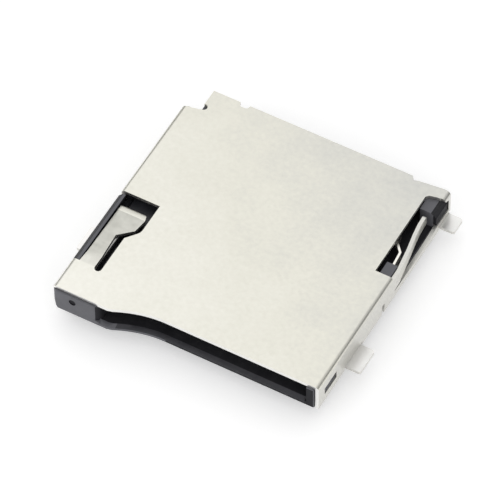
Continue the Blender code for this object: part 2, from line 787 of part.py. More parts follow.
def bump(latch, side):
    """The bump in a latch slot; its upper face slopes so that the shell slides over it."""
    start, length, low, height = latch
    base = HOUSING_SIDE - SHEET
    reach = HOUSING_SIDE + SIDE_GAP + BUMP_REACH
    foot_z = low + SIDE_GAP
    head_z = low + height - SIDE_GAP
    outline = [(base, foot_z), (reach, foot_z), (reach, foot_z + height / 4), (base, head_z)]
    outline = [(side * u, v) for u, v in outline]
    return prism("bump", outline, "Y", start + SIDE_GAP, start + length - SIDE_GAP)


def cut_front(body):
    """Chamfers along the front edge, and the mouth's flare."""
    wide = (-HOUSING_SIDE - PAST, HOUSING_SIDE + PAST)
    lip = -FRONT_LIP
    under = [
        (lip - PAST, -PAST),
        (lip + FOOT_CHAMFER + PAST, -PAST),
        (lip + FOOT_CHAMFER, 0.0),
        (lip, FOOT_CHAMFER),
        (lip - PAST, FOOT_CHAMFER),
    ]
    cut(body, front_sweep("under_chamfer", under, *wide))
    corner = SHELL_FRONT - FRONT_STEP - FRONT_LIP
    cheek = -HOUSING_SIDE - CHEEK_REACH
    across, up = CORNER_CHAMFER
    side_chamfer = [
        (cheek - PAST, -PAST),
        (cheek + across, -PAST),
        (cheek + across, 0.0),
        (cheek, up),
        (cheek - PAST, up),
    ]
    cut(body, prism("corner_chamfer", side_chamfer, "Y", corner - PAST, CHEEK_BACK + 0.1))
    ramp_low = FLOOR - LEAD_IN / 2
    ramp = [
        (lip - PAST, ramp_low),
        (lip, ramp_low),
        (lip + LEAD_IN, FLOOR),
        (lip + LEAD_IN, FLOOR + 0.1),
        (lip - PAST, FLOOR + 0.1),
    ]
    cut(body, front_sweep("lead_in", ramp, CAVITY_LEFT - 0.05, CAVITY_RIGHT + MOUTH_FLARE / 2))
    mouth = SHELL_FRONT - FRONT_LIP
    flare_right = [
        (CAVITY_RIGHT - 0.1, mouth - PAST),
        (CAVITY_RIGHT + MOUTH_FLARE, mouth - PAST),
        (CAVITY_RIGHT + MOUTH_FLARE, mouth),
        (CAVITY_RIGHT, mouth + 3 * MOUTH_FLARE),
        (CAVITY_RIGHT - 0.1, mouth + 3 * MOUTH_FLARE),
    ]
    round_middle = (CAVITY_LEFT - MOUTH_ROUND, corner + MOUTH_ROUND)
    round_left = [(CAVITY_LEFT + 0.1, corner - PAST), (CAVITY_LEFT - MOUTH_ROUND, corner - PAST)]
    round_left += arc(round_middle, MOUTH_ROUND, 270, 360, 8)
    round_left += [(CAVITY_LEFT + 0.1, corner + MOUTH_ROUND)]
    for outline in (flare_right, round_left):
        cut(body, prism("flare", outline, "Z", FLOOR, HOUSING_TOP + PAST))


def cut_pin_room(body):
    """The hole for the cam pin's fixed end, and the fan-shaped room for its swing."""
    radius = PIN_WIRE / 2 + PIN_GAP
    over = HOUSING_TOP + PAST
    cut(body, rod("pivot_hole", (PIVOT_X, PIVOT_Y), radius, "Z", FLOOR + SEAT_GAP, over, sides=16))
    depth = CHANNEL_FRONT - PIVOT_Y + 0.2
    spread = depth * math.tan(math.radians(PIN_SWING + 2))
    fan = [
        (PIVOT_X - radius, PIVOT_Y),
        (PIVOT_X + radius, PIVOT_Y),
        (PIVOT_X + radius + spread, PIVOT_Y + depth),
        (PIVOT_X - radius, PIVOT_Y + depth),
    ]
    cut(body, prism("pin_room", fan, "Z", PIN_LEVEL - radius, over))


def cut_floor(body):
    """Slots, windows and tunnels in the floor."""
    through = (-PAST, FLOOR + 0.1)
    half = SLOT_WIDTH / 2
    for index in range(CONTACT_COUNT):
        x = contact_x(index)
        cut(body, block("slot", (x - half, x + half), (SLOT_FRONT, SLOT_BACK), through))
        cut(body, ribbon("tunnel", contact_base(index), STRIP, STRIP_GAP))
        cut(body, tail_notch(x))
    keel_left = SLIDER_LEFT + KEEL_OFFSET - KEEL_GAP
    keel_right = keel_left + KEEL_WIDTH + 2 * KEEL_GAP
    keel_length = (CHANNEL_FRONT, CHANNEL_FRONT + KEEL_SLOT_LENGTH)
    cut(body, block("keel_slot", (keel_left, keel_right), keel_length, through))
    reach = SPRING_WINDOW_WIDTH / 2
    cut(body, block("spring_window", (SPRING_X - reach, SPRING_X + reach), SPRING_WINDOW, through))


def tail_notch(x):
    """The notch in the housing's back edge where a tail steps down to the board."""
    half = TAIL_WIDTH / 2 + 2 * STRIP_GAP
    level = STRIP_LEVEL + STRIP
    return block("notch", (x - half, x + half), (HOUSING_BACK - 0.2, HOUSING_BACK + PAST), (-PAST, level))


def cut_switch(body):
    """Room for the card switch in the +X wall, and the detect terminal's hole and tunnel."""
    hole_left, hole_right, hole_front, hole_back = DETECT_HOLE
    room_front, room_back = SWITCH_ROOM
    over = HOUSING_TOP + PAST
    room_width = (CAVITY_RIGHT - 0.1, HOUSING_SIDE + PAST)
    cut(body, block("room", room_width, (room_front, room_back), (FLOOR, over)))
    cut(body, block("hole", (hole_left, hole_right), (hole_front, hole_back), (-PAST, FLOOR + 0.1)))
    cut(body, ribbon("tunnel", detect_base(), STRIP, STRIP_GAP))
    cut(body, tail_notch(DETECT_X - 0.15))
    half = STRIP / 2 + 2 * STRIP_GAP
    low = STRIP_LEVEL - half
    pocket_front = hole_front + 0.3
    cut(body, block("riser_pocket", (BLADE_X - half, BLADE_X + half), (pocket_front, room_front + 0.1),
                    (low, BLADE_HIGH + 2 * STRIP_GAP)))
    cut(body, block("riser_root", (DETECT_X, BLADE_X), (pocket_front, hole_back + STRIP_GAP),
                    (low, STRIP_LEVEL + 2 * half)))


def add_shoulder(body):
    """The sloped shoulder behind the card switch, which stands in the +X flange's opening."""
    across, down = SHOULDER_SLOPE
    reach = HOUSING_SIDE + SIDE_GAP + BUMP_REACH
    front = SWITCH_ROOM[1] + SIDE_GAP
    back = SHELL_BACK - POST_WIDTH - SIDE_GAP
    height = (flange_edge()[-1][1] + SIDE_GAP, HOUSING_TOP)
    add(body, block("shoulder", (HOUSING_SIDE - 0.1, reach), (front, back), height))
    above = HOUSING_TOP + PAST
    slope = [(reach - across, above), (reach - across, HOUSING_TOP), (reach, HOUSING_TOP - down),
             (reach + PAST, HOUSING_TOP - down), (reach + PAST, above)]
    cut(body, prism("slope", slope, "Y", SWITCH_ROOM[1] - PAST / 2, SHELL_BACK + PAST))


def build_housing():
    """One moulding: floor, walls, pegs, and every slot, window and channel in it."""
    body = prism("housing", housing_outline(), "Z", 0.0, HOUSING_TOP)
    over = HOUSING_TOP + PAST
    far = SHELL_FRONT - FRONT_STEP - PAST
    rib_right = SPRING_X + SPRING_DIAMETER / 2 + 3 * SIDE_GAP + RIB_WIDTH
    cut(body, block("cavity", (CAVITY_LEFT, CAVITY_RIGHT), (far, NARROW_FRONT), (FLOOR, over)))
    cut(body, block("narrow", (rib_right, CAVITY_RIGHT), (NARROW_FRONT - 0.1, CAVITY_BACK), (FLOOR, over)))
    pocket = (CAVITY_LEFT - SIDE_GAP, rib_right - RIB_WIDTH)
    cut(body, block("spring_pocket", pocket, (NARROW_FRONT - 0.1, CAVITY_BACK), (FLOOR, over)))
    channel_width = (CHANNEL_LEFT, CAVITY_LEFT + 0.05)
    cut(body, block("channel", channel_width, (CHANNEL_FRONT, CHANNEL_BACK), (FLOOR, over)))
    cut_front(body)
    cut_pin_room(body)
    cut_floor(body)
    cut_switch(body)
    block_left = CAVITY_RIGHT - SWITCH_BLOCK
    add(body, block("switch_block", (block_left, CAVITY_RIGHT + 0.1), (SWITCH_ROOM[1], CAVITY_BACK + 0.1),
                    (FLOOR / 2 + STRIP, HOUSING_TOP)))
    add_shoulder(body)

    # The rib that fills the slider window's side in the flange, and the low wall beside the leaf
    rib_length = (LEAF_ROOT + SIDE_GAP, SLIDER_SIDE_BACK - SIDE_GAP)
    rib_height = (SLIDER_WINDOW_SIDE + SIDE_GAP, HOUSING_TOP + WINDOW_RIB_HEIGHT)
    across, down = WINDOW_RIB_SLOPE
    rib = [
        (RIB_RIGHT + 0.1, rib_height[0]),
        (RIB_RIGHT + 0.1, rib_height[1]),
        (RIB_LEFT, rib_height[1]),
        (RIB_LEFT - across, rib_height[1] - down),
        (RIB_LEFT - across, rib_height[0]),
    ]
    add(body, prism("rib", rib, "Y", *rib_length))
    bay_length = (LEAF_ROOT - 0.1, SLIDER_WINDOW_BACK + 0.1)
    bay_height = (rib_height[0] + BAY_STEP, over)
    cut(body, block("leaf_bay", (RIB_RIGHT, CHANNEL_LEFT + 0.05), bay_length, bay_height))

    # Pegs, bumps in the latch slots, and the nub in the flange's notch
    for x in PEG_X:
        add(body, rod("peg", (x, 0.0), PEG_DIAMETER / 2, "Z", -PEG_LENGTH, FLOOR / 2, PEG_ROUND))
    add(body, bump(LATCH_RIGHT, 1), bump(LATCH_LEFT_FRONT, -1), bump(LATCH_LEFT_BACK, -1))
    nub_front, nub_back, nub_top = NUB
    add(body, block("nub", (-HOUSING_SIDE - SIDE_GAP - BUMP_REACH, -HOUSING_SIDE + 0.1),
                    (nub_front + SIDE_GAP, nub_back - SIDE_GAP), (0.08, nub_top - SIDE_GAP)))

    # Round mark of a mould pin on the front block
    mark_y = SHELL_FRONT - FRONT_STEP - FRONT_LIP
    mark = (PIVOT_X + MARK_OFFSET, SLIDER_DECK + MARK_OFFSET)
    cut(body, rod("mark", mark, MARK_DIAMETER / 2, "Y", mark_y - PAST, mark_y + MARK_DEPTH, sides=16))
    return finish(body, "housing", HOUSING_PLASTIC)


def build_slider():
    """The ejector slider: deck with the heart-shaped cam, arm, stud, hook and keel."""
    deck_height = (SLIDER_UNDER, SLIDER_DECK)
    body = block("slider", (SLIDER_LEFT, SLIDER_RIGHT), (SLIDER_FRONT, SLIDER_BACK), deck_height)
    front = SLIDER_FRONT + ARM_FRONT
    back = front + ARM_LENGTH
    arm_right = SLIDER_RIGHT + ARM_REACH + CARD_GAP
    top = HOUSING_TOP - SLIDE_GAP
    arm = [
        (SLIDER_RIGHT - 0.35, front),
        (arm_right - ARM_SLANT, front),
        (arm_right, front + ARM_SLANT),
        (arm_right, back),
        (SLIDER_RIGHT - 0.35, back),
    ]
    add(body, prism("arm", arm, "Z", SLIDER_UNDER, top))
    stud_length = (back - 0.2, back + STUD_LENGTH)
    add(body, rod("stud", (SPRING_X, SPRING_Z), STUD_DIAMETER / 2, "Y", *stud_length, sides=12))
    hook_y = SLIDER_FRONT + 1.0
    hook = [
        (SLIDER_RIGHT - 0.1, hook_y),
        (SLIDER_RIGHT + HOOK_REACH, hook_y + 0.25),
        (SLIDER_RIGHT + HOOK_REACH, hook_y + 0.45),
        (SLIDER_RIGHT - 0.1, hook_y + 0.6),
    ]
    add(body, prism("hook", hook, "Z", SLIDER_UNDER, SLIDER_DECK))
    keel = (SLIDER_LEFT + KEEL_OFFSET, SLIDER_LEFT + KEEL_OFFSET + KEEL_WIDTH)
    keel_back = SLIDER_FRONT + KEEL_LENGTH
    add(body, block("keel", keel, (SLIDER_FRONT, keel_back), (0.03, SLIDER_UNDER + 0.1)))
    step_length = (keel_back + 0.23, keel_back + 0.63)
    add(body, block("step", keel, step_length, (FLOOR - 0.12, SLIDER_UNDER + 0.1)))

    # Cam pocket: a straight lane under the pin at rest, room for its swing, and the island
    radius = PIN_WIRE / 2 + 3 * PIN_GAP
    swing = PIN_REACH * math.sin(math.radians(PIN_SWING))
    left = PIVOT_X - radius
    right = PIVOT_X + swing + radius
    rest = PIN_END_Y
    pushed = PIN_END_Y - SLIDER_TRAVEL
    pocket = [
        (left + 0.1, pushed - radius - 0.05),
        (right - 0.1, pushed - radius - 0.05),
        (right, pushed - 0.1),
        (right, rest),
        (right - 0.1, rest + radius),
        (left + 0.1, rest + radius),
        (left, rest),
        (left, pushed),
    ]
    cut(body, prism("pocket", pocket, "Z", POCKET_FLOOR, SLIDER_DECK + PAST / 2))
    add(body, island(radius, swing, pushed))
    finish(body, "slider", SLIDER_PLASTIC)
    set_origin(body, ((SLIDER_LEFT + SLIDER_RIGHT) / 2, SLIDER_FRONT, SLIDER_UNDER))
    return body


def island(radius, swing, pushed):
    """The heart-shaped island: a notch in its front end holds the pin while a card is in."""
    left = PIVOT_X + radius
    right = PIVOT_X + swing - radius + 0.1
    front = pushed + PIN_WIRE / 2 + 0.37
    notch = front + 0.25
    middle = (left + right) / 2
    heart = [
        (left, front + 0.1),
        (left + 0.05, front),
        (left + 0.09, front + 0.02),
        (middle - 0.05, notch),
        (middle + 0.05, notch),
        (right - 0.08, front),
        (right - 0.03, front),
        (right, front + 0.07),
        (right, front + 1.25),
        (middle, front + 1.95),
        (left, front + 1.25),
    ]
    return prism("island", heart, "Z", POCKET_FLOOR - 0.05, SLIDER_DECK)


def tube(name, points, radius, roundness):
    """A round wire through points in space, from a curve with filled caps."""
    curve = bpy.data.curves.new(name, "CURVE")
    curve.dimensions = "3D"
    curve.bevel_depth = radius * MM
    curve.bevel_resolution = roundness
    curve.use_fill_caps = True
    spline = curve.splines.new("POLY")
    spline.points.add(len(points) - 1)
    for target, point in zip(spline.points, points):
        target.co = (*(Vector(point) * MM), 1.0)
    carrier = bpy.data.objects.new(name, curve)
    bpy.context.scene.collection.objects.link(carrier)
    bpy.context.view_layer.update()
    graph = bpy.context.evaluated_depsgraph_get()
    mesh = bpy.data.meshes.new_from_object(carrier.evaluated_get(graph))
    bpy.data.objects.remove(carrier, do_unlink=True)
    bm = bmesh.new()
    bm.from_mesh(mesh)
    bmesh.ops.remove_doubles(bm, verts=bm.verts, dist=1e-7)
    bmesh.ops.recalc_face_normals(bm, faces=bm.faces)
    bm.to_mesh(mesh)
    bm.free()
    return link(name, mesh)


def build_cam_pin():
    """The wire that locks the slider: a staple, turned down at both ends."""
    low = FLOOR + SEAT_GAP + 2 * PIN_GAP
    end_low = POCKET_FLOOR + PIN_GAP
    path = [(PIVOT_Y, low), (PIVOT_Y, PIN_LEVEL), (PIN_END_Y, PIN_LEVEL), (PIN_END_Y, end_low)]
    line = [(PIVOT_X, *point) for point, _ in bent_line(path, PIN_WIRE / 2 + 0.02)]
    body = tube("cam_pin", line, PIN_WIRE / 2, 3)
    finish(body, "cam_pin", WIRE_METAL, 50.0)
    set_origin(body, (PIVOT_X, PIVOT_Y, PIN_LEVEL))
    return body


def build_spring():
    """The eject spring at rest, with a closed turn at each end."""
    front = SPRING_FRONT + SEAT_GAP + SPRING_WIRE / 2
    back = CAVITY_BACK - SEAT_GAP - SPRING_WIRE / 2
    closed = 1.15 * SPRING_WIRE
    open_turns = SPRING_TURNS - 2 * SPRING_END_TURNS
    pitch = (back - front - 2 * SPRING_END_TURNS * closed) / open_turns
    radius = (SPRING_DIAMETER - SPRING_WIRE) / 2
    points = []
    for i in range(SPRING_TURNS * SPRING_STEPS + 1):
        turn = i / SPRING_STEPS
        opened = min(max(turn - SPRING_END_TURNS, 0.0), open_turns)
        y = front + closed * (turn - opened) + pitch * opened
        angle = 2 * math.pi * turn
        points.append((SPRING_X + radius * math.cos(angle), y, SPRING_Z + radius * math.sin(angle)))
    return finish(tube("coil_spring", points, SPRING_WIRE / 2, 1), "coil_spring", WIRE_METAL, 60.0)


def main():
    clear_scene()
    build_housing()
    build_shell()
    for index in range(CONTACT_COUNT):
        build_contact(index)
    build_detect_terminal()
    build_slider()
    build_cam_pin()
    build_spring()


main()
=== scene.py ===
# %% [markdown]
# A low socket for a small memory card, the push-push kind that is soldered flat to a board.
# It is a folded tin-plated shell over a black moulding, with eight spring contacts, an ejector
# slider with its coil spring and cam pin, and a small card switch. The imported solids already
# have their true sizes and places, so this script only dresses them: each piece gets the
# finish that its process leaves, and a mesh fine enough for a close look.

import math

import bmesh
import bpy
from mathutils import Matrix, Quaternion, Vector
from mathutils.bvhtree import BVHTree


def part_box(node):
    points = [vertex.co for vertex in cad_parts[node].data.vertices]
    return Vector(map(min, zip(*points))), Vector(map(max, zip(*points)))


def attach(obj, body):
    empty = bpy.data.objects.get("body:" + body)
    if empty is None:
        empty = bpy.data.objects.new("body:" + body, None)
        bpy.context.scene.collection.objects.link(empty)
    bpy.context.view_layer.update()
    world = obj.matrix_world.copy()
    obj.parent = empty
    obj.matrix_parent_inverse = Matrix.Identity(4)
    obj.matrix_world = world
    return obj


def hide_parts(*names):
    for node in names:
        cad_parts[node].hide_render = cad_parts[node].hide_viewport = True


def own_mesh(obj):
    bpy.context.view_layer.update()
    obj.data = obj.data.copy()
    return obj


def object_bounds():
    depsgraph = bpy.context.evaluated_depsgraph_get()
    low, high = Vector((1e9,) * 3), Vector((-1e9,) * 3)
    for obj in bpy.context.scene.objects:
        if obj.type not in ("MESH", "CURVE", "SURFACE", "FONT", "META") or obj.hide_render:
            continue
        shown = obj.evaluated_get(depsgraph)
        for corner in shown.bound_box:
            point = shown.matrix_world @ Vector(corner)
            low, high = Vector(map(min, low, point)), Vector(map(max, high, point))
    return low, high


MM = 0.001

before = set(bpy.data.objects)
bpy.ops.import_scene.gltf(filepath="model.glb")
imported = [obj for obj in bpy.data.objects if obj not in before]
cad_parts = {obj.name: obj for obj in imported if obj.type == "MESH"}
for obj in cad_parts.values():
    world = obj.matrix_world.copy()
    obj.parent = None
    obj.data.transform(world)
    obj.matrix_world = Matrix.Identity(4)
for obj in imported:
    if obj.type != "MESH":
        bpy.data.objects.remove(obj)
cad_box = [list(corner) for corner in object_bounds()]
print("CAD box in mm:", [[round(value / MM, 2) for value in corner] for corner in cad_box])

# %% [markdown]
# The photograph is taken from far away with a long lens, so the socket's edges stay almost
# parallel. The camera stands where the photograph's camera stood, which the pitch of the eight
# contacts gives, and it only turns and zooms until the socket fills the frame.

# %% Camera
CAMERA_PLACE = Vector((82.06, -142.25, 218.37)) * MM
CAMERA_TARGET = Vector((-0.1, 3.6, 0.9)) * MM
CAMERA_ROLL = math.radians(-0.5)
LENS = 385.0
CLIP_NEAR = 0.01
CLIP_FAR = 20.0

scene = bpy.context.scene
camera_data = bpy.data.cameras.new("camera")
camera_data.lens = LENS
camera_data.clip_start = CLIP_NEAR
camera_data.clip_end = CLIP_FAR
camera = bpy.data.objects.new("camera", camera_data)
scene.collection.objects.link(camera)
camera.location = CAMERA_PLACE
aim = (CAMERA_TARGET - CAMERA_PLACE).to_track_quat("-Z", "Y")
camera.rotation_euler = (aim @ Quaternion((0, 0, 1), CAMERA_ROLL)).to_euler()
scene.camera = camera
print("camera to socket:", round((CAMERA_TARGET - CAMERA_PLACE).length, 3), "m")

# %% [markdown]
# Bare metal shows mostly what it reflects, so the light is made of large pale areas: a wide
# softbox over the socket, a weaker one on the card switch's side and one in front. The world
# is white to the camera. For reflections it is bright overhead and dims towards the horizon,
# like a white tent with an open front, so that the plate is pale and each fold has a darker line.

# %% World and lamps
WORLD_SEEN = 1.0
WORLD_DIFFUSE = 0.62
TENT_LOW = 0.20
TENT_HIGH = 0.74
TENT_FROM = 0.25
TENT_TO = 0.90
SOFTBOXES = [
    ("over", Vector((-120.0, 160.0, 330.0)), 420.0, 0.26),
    ("side", Vector((260.0, -160.0, 170.0)), 240.0, 0.14),
    ("front", Vector((-200.0, -280.0, 160.0)), 240.0, 0.16),
]

scene.view_settings.view_transform = "Standard"
world = bpy.data.worlds.new("studio")
world.use_nodes = True
scene.world = world
sky = world.node_tree

heading = sky.nodes.new("ShaderNodeTexCoord")
height = sky.nodes.new("ShaderNodeSeparateXYZ")
sky.links.new(heading.outputs["Generated"], height.inputs["Vector"])
tent = sky.nodes.new("ShaderNodeMapRange")
tent.interpolation_type = "SMOOTHSTEP"
tent.inputs["From Min"].default_value = TENT_FROM
tent.inputs["From Max"].default_value = TENT_TO
tent.inputs["To Min"].default_value = TENT_LOW
tent.inputs["To Max"].default_value = TENT_HIGH
sky.links.new(height.outputs["Z"], tent.inputs["Value"])
rays = sky.nodes.new("ShaderNodeLightPath")
for_gloss = sky.nodes.new("ShaderNodeMix")
for_gloss.inputs["A"].default_value = WORLD_DIFFUSE
sky.links.new(rays.outputs["Is Glossy Ray"], for_gloss.inputs["Factor"])
sky.links.new(tent.outputs["Result"], for_gloss.inputs["B"])
for_camera = sky.nodes.new("ShaderNodeMix")
for_camera.inputs["B"].default_value = WORLD_SEEN
sky.links.new(rays.outputs["Is Camera Ray"], for_camera.inputs["Factor"])
sky.links.new(for_gloss.outputs["Result"], for_camera.inputs["A"])
background = sky.nodes["Background"]
background.inputs["Color"].default_value = (1.0, 1.0, 1.0, 1.0)
sky.links.new(for_camera.outputs["Result"], background.inputs["Strength"])

for lamp_name, lamp_place, lamp_side, lamp_watts in SOFTBOXES:
    lamp_data = bpy.data.lights.new(lamp_name, "AREA")
    lamp_data.shape = "SQUARE"
    lamp_data.size = lamp_side * MM
    lamp_data.energy = lamp_watts
    lamp = bpy.data.objects.new(lamp_name, lamp_data)
    scene.collection.objects.link(lamp)
    lamp.location = lamp_place * MM
    lamp.rotation_euler = (-lamp_place).to_track_quat("-Z", "Y").to_euler()
print("lamps:", len(SOFTBOXES))

# %% [markdown]
# The floor is a plain pale sheet at the tips of the two locating pegs, the lowest points of
# the socket. It keeps a soft shadow, and a little emission for camera rays lifts it to the
# photograph's white. A smaller lift for glossy rays lets the flanges mirror a pale table.
# Seen from below it is clear, so that the underside can be looked at.

# %% Floor
FLOOR_SIDE = 4000.0
FLOOR_TONE = 0.86
FLOOR_ROUGHNESS = 0.9
FLOOR_LIFT = 0.38
FLOOR_MIRROR_LIFT = 0.36

floor_z = cad_box[0][2]
half_floor = FLOOR_SIDE / 2 * MM
floor_mesh = bpy.data.meshes.new("floor")
floor_corners = [
    (-half_floor, -half_floor, floor_z),
    (half_floor, -half_floor, floor_z),
    (half_floor, half_floor, floor_z),
    (-half_floor, half_floor, floor_z),
]
floor_mesh.from_pydata(floor_corners, [], [(0, 1, 2, 3)])
floor = bpy.data.objects.new("floor", floor_mesh)
scene.collection.objects.link(floor)
floor_paint = bpy.data.materials.new("floor_paint")
floor_paint.use_nodes = True
paint_tree = floor_paint.node_tree
paint = paint_tree.nodes["Principled BSDF"]
paint.inputs["Base Color"].default_value = (FLOOR_TONE, FLOOR_TONE, FLOOR_TONE, 1.0)
paint.inputs["Roughness"].default_value = FLOOR_ROUGHNESS
paint.inputs["Specular IOR Level"].default_value = 0.0
paint.inputs["Emission Color"].default_value = (1.0, 1.0, 1.0, 1.0)
paint_rays = paint_tree.nodes.new("ShaderNodeLightPath")
paint_mirror = paint_tree.nodes.new("ShaderNodeMath")
paint_mirror.operation = "MULTIPLY"
paint_mirror.inputs[1].default_value = FLOOR_MIRROR_LIFT
paint_tree.links.new(paint_rays.outputs["Is Glossy Ray"], paint_mirror.inputs[0])
paint_lift = paint_tree.nodes.new("ShaderNodeMath")
paint_lift.operation = "MULTIPLY_ADD"
paint_lift.inputs[1].default_value = FLOOR_LIFT
paint_tree.links.new(paint_rays.outputs["Is Camera Ray"], paint_lift.inputs[0])
paint_tree.links.new(paint_mirror.outputs[0], paint_lift.inputs[2])
paint_tree.links.new(paint_lift.outputs[0], paint.inputs["Emission Strength"])
clear = paint_tree.nodes.new("ShaderNodeBsdfTransparent")
facing = paint_tree.nodes.new("ShaderNodeNewGeometry")
either = paint_tree.nodes.new("ShaderNodeMixShader")
paint_tree.links.new(facing.outputs["Backfacing"], either.inputs["Fac"])
paint_tree.links.new(paint.outputs["BSDF"], either.inputs[1])
paint_tree.links.new(clear.outputs["BSDF"], either.inputs[2])
paint_tree.links.new(either.outputs["Shader"], paint_tree.nodes["Material Output"].inputs["Surface"])
floor_mesh.materials.append(floor_paint)

# %% [markdown]
# Every finish here is procedural. The patterns read Object coordinates, which are metres in
# this frame, and a Mapping node turns them into millimetres and stretches them along the
# direction of rolling, drawing or flow. Small helpers add a node with its settings, reckon with
# what nodes give, and join noise to roughness, to a bump or to a slight change of tone.

# %% Material helpers
def add_node(tree, kind, **settings):
    """A node of a kind; settings name its inputs, with underscores for spaces."""
    made = tree.nodes.new(kind)
    for name, value in settings.items():
        made.inputs[name.replace("_", " ")].default_value = value
    return made


def start_material(name, colour, metallic, roughness):
    """A material with a Principled shader, and its tree."""
    made = bpy.data.materials.new(name)
    made.use_nodes = True
    shader = made.node_tree.nodes["Principled BSDF"]
    shader.inputs["Base Color"].default_value = (*colour, 1.0)
    shader.inputs["Metallic"].default_value = metallic
    shader.inputs["Roughness"].default_value = roughness
    return made, made.node_tree, shader


def reckon(tree, operation, *values):
    """A Math node; a value is a number or another node's output."""
    made = tree.nodes.new("ShaderNodeMath")
    made.operation = operation
    for target, value in zip(made.inputs, values):
        if isinstance(value, (int, float)):
            target.default_value = value
        else:
            tree.links.new(value, target)
    return made.outputs[0]


def millimetres(tree, stretch=(1.0, 1.0, 1.0)):
    """Object coordinates in millimetres, times a stretch along each axis."""
    place = tree.nodes.new("ShaderNodeTexCoord")
    mapping = add_node(tree, "ShaderNodeMapping", Scale=[value / MM for value in stretch])
    tree.links.new(place.outputs["Object"], mapping.inputs["Vector"])
    return mapping.outputs["Vector"]


def noise(tree, place, scale, detail=3.0, roughness=0.55):
    """A noise with so many cells a millimetre, about 0.5 on average."""
    made = add_node(tree, "ShaderNodeTexNoise", Scale=scale, Detail=detail, Roughness=roughness)
    tree.links.new(place, made.inputs["Vector"])
    return made.outputs["Fac"]


def spread(tree, value, low, high, start=0.3, end=0.7):
    """Maps a pattern from start...end to low...high."""
    made = add_node(tree, "ShaderNodeMapRange", From_Min=start, From_Max=end, To_Min=low, To_Max=high)
    tree.links.new(value, made.inputs["Value"])
    return made.outputs["Result"]


def tone(tree, shader, value, dark, light):
    """Moves the base colour between two tones by a pattern."""
    mix = tree.nodes.new("ShaderNodeMix")
    mix.data_type = "RGBA"
    colours = [socket for socket in mix.inputs if socket.type == "RGBA"]
    colours[0].default_value = (*dark, 1.0)
    colours[1].default_value = (*light, 1.0)
    result = [socket for socket in mix.outputs if socket.type == "RGBA"][0]
    tree.links.new(value, mix.inputs["Factor"])
    tree.links.new(result, shader.inputs["Base Color"])


def tones_along(tree, shader, value, tones):
    """Moves the base colour through evenly spaced tones by a pattern from 0 to 1."""
    ramp = tree.nodes.new("ShaderNodeValToRGB")
    stops = ramp.color_ramp.elements
    while len(stops) < len(tones):
        stops.new(0.5)
    for index, shade in enumerate(tones):
        stops[index].position = index / (len(tones) - 1)
        stops[index].color = (*shade, 1.0)
    tree.links.new(value, ramp.inputs["Fac"])
    tree.links.new(ramp.outputs["Color"], shader.inputs["Base Color"])


def relief(tree, shader, value, strength, depth):
    """A bump from a pattern, with its depth in millimetres."""
    bump = add_node(tree, "ShaderNodeBump", Strength=strength, Distance=depth * MM)
    tree.links.new(value, bump.inputs["Height"])
    tree.links.new(bump.outputs["Normal"], shader.inputs["Normal"])

# %% [markdown]
# The shell is stamped from strip that was plated with matt tin. Rolling leaves a very fine
# grain along the strip, and the tin itself is a soft satin with faint clouds. So the grain is a
# noise stretched along Y, the clouds are a wide noise that moves the tone and the roughness a
# little, and the bump stays tiny, because real plating is smooth to the finger. The tone also
# falls from light at the front left to darker at the back right, which is painted light. The
# leaf over the cam pin gets painted shade that darkens it towards its middle, and the feet get
# a whiter tin, painted light that lifts the shade they lie in near the floor.

# %% Tin plating
# The lit, middle and shaded tones of a painted falloff of light across the sheet.
TIN_LIT = (0.880, 0.868, 0.800)
TIN_MIDDLE = (0.772, 0.759, 0.678)
TIN_SHADED = (0.600, 0.600, 0.576)
# Painted shade on the leaf: from the plate's tone at its root to a darker tone at its middle.
LEAF_ROOT_TONE = (0.860, 0.848, 0.782)
LEAF_SHADED_TONE = (0.600, 0.596, 0.545)
LEAF_FADE_FROM = -1.9
LEAF_FADE_TO = -0.4
# A whiter tin for the feet, painted light against their shade near the floor.
FOOT_LIT = (0.940, 0.930, 0.905)
FOOT_SHADED = (0.850, 0.845, 0.825)
TIN_LIT_END = Vector((-7.5, -3.7, 0.0))
TIN_SHADED_END = Vector((7.5, 11.3, 0.0))
TIN_FALLOFF = (0.06, 0.90)
TIN_CLOUDS = (-0.08, 0.08)
TIN_MOTTLE = (-0.07, 0.07)
TIN_ROUGHNESS = (0.32, 0.40)
LEAF_SHADE_SPAN = (0.0, 0.9)
LEAF_MOTTLE = (-0.12, 0.12)
LEAF_ROUGHNESS = (0.34, 0.46)
ROLLED_GRAIN = (1.0, 0.08, 1.0)
SHEARED_TONES = ((0.62, 0.61, 0.58), (0.84, 0.83, 0.78))
SHEARED_ROUGHNESS = (0.34, 0.52)
PUNCH_STREAKS = (1.0, 1.0, 0.12)


def rolled_grain(tree, shader):
    """The very fine grain that rolling leaves along the strip."""
    grain = noise(tree, millimetres(tree, ROLLED_GRAIN), scale=26.0, detail=4.0)
    relief(tree, shader, grain, strength=0.25, depth=0.0012)


def tin_material(name, tones):
    """Matt tin: fine grain along the strip, clouds, and painted light, a tone that falls from the
    front left to the back right of the sheet.
    """
    made, tree, shader = start_material(name, tones[0], 1.0, TIN_ROUGHNESS[1])
    place = millimetres(tree)
    across = tree.nodes.new("ShaderNodeVectorMath")
    across.operation = "DOT_PRODUCT"
    span = TIN_SHADED_END - TIN_LIT_END
    across.inputs[1].default_value = span / span.length_squared
    tree.links.new(place, across.inputs[0])
    offset = span.dot(TIN_LIT_END) / span.length_squared
    clouds = noise(tree, place, scale=0.45, detail=4.0)
    mottle = noise(tree, place, scale=4.0, detail=5.0, roughness=0.65)
    # Painted light: the tone falls from the lit front left to the shaded back right.
    light_falloff = spread(tree, across.outputs["Value"], *TIN_FALLOFF, offset, offset + 1.0)
    cloudy = reckon(tree, "ADD", light_falloff, spread(tree, clouds, *TIN_CLOUDS))
    mottled = reckon(tree, "ADD", cloudy, spread(tree, mottle, *TIN_MOTTLE))
    tones_along(tree, shader, mottled, tones)
    tree.links.new(spread(tree, mottle, *TIN_ROUGHNESS), shader.inputs["Roughness"])
    rolled_grain(tree, shader)
    return made


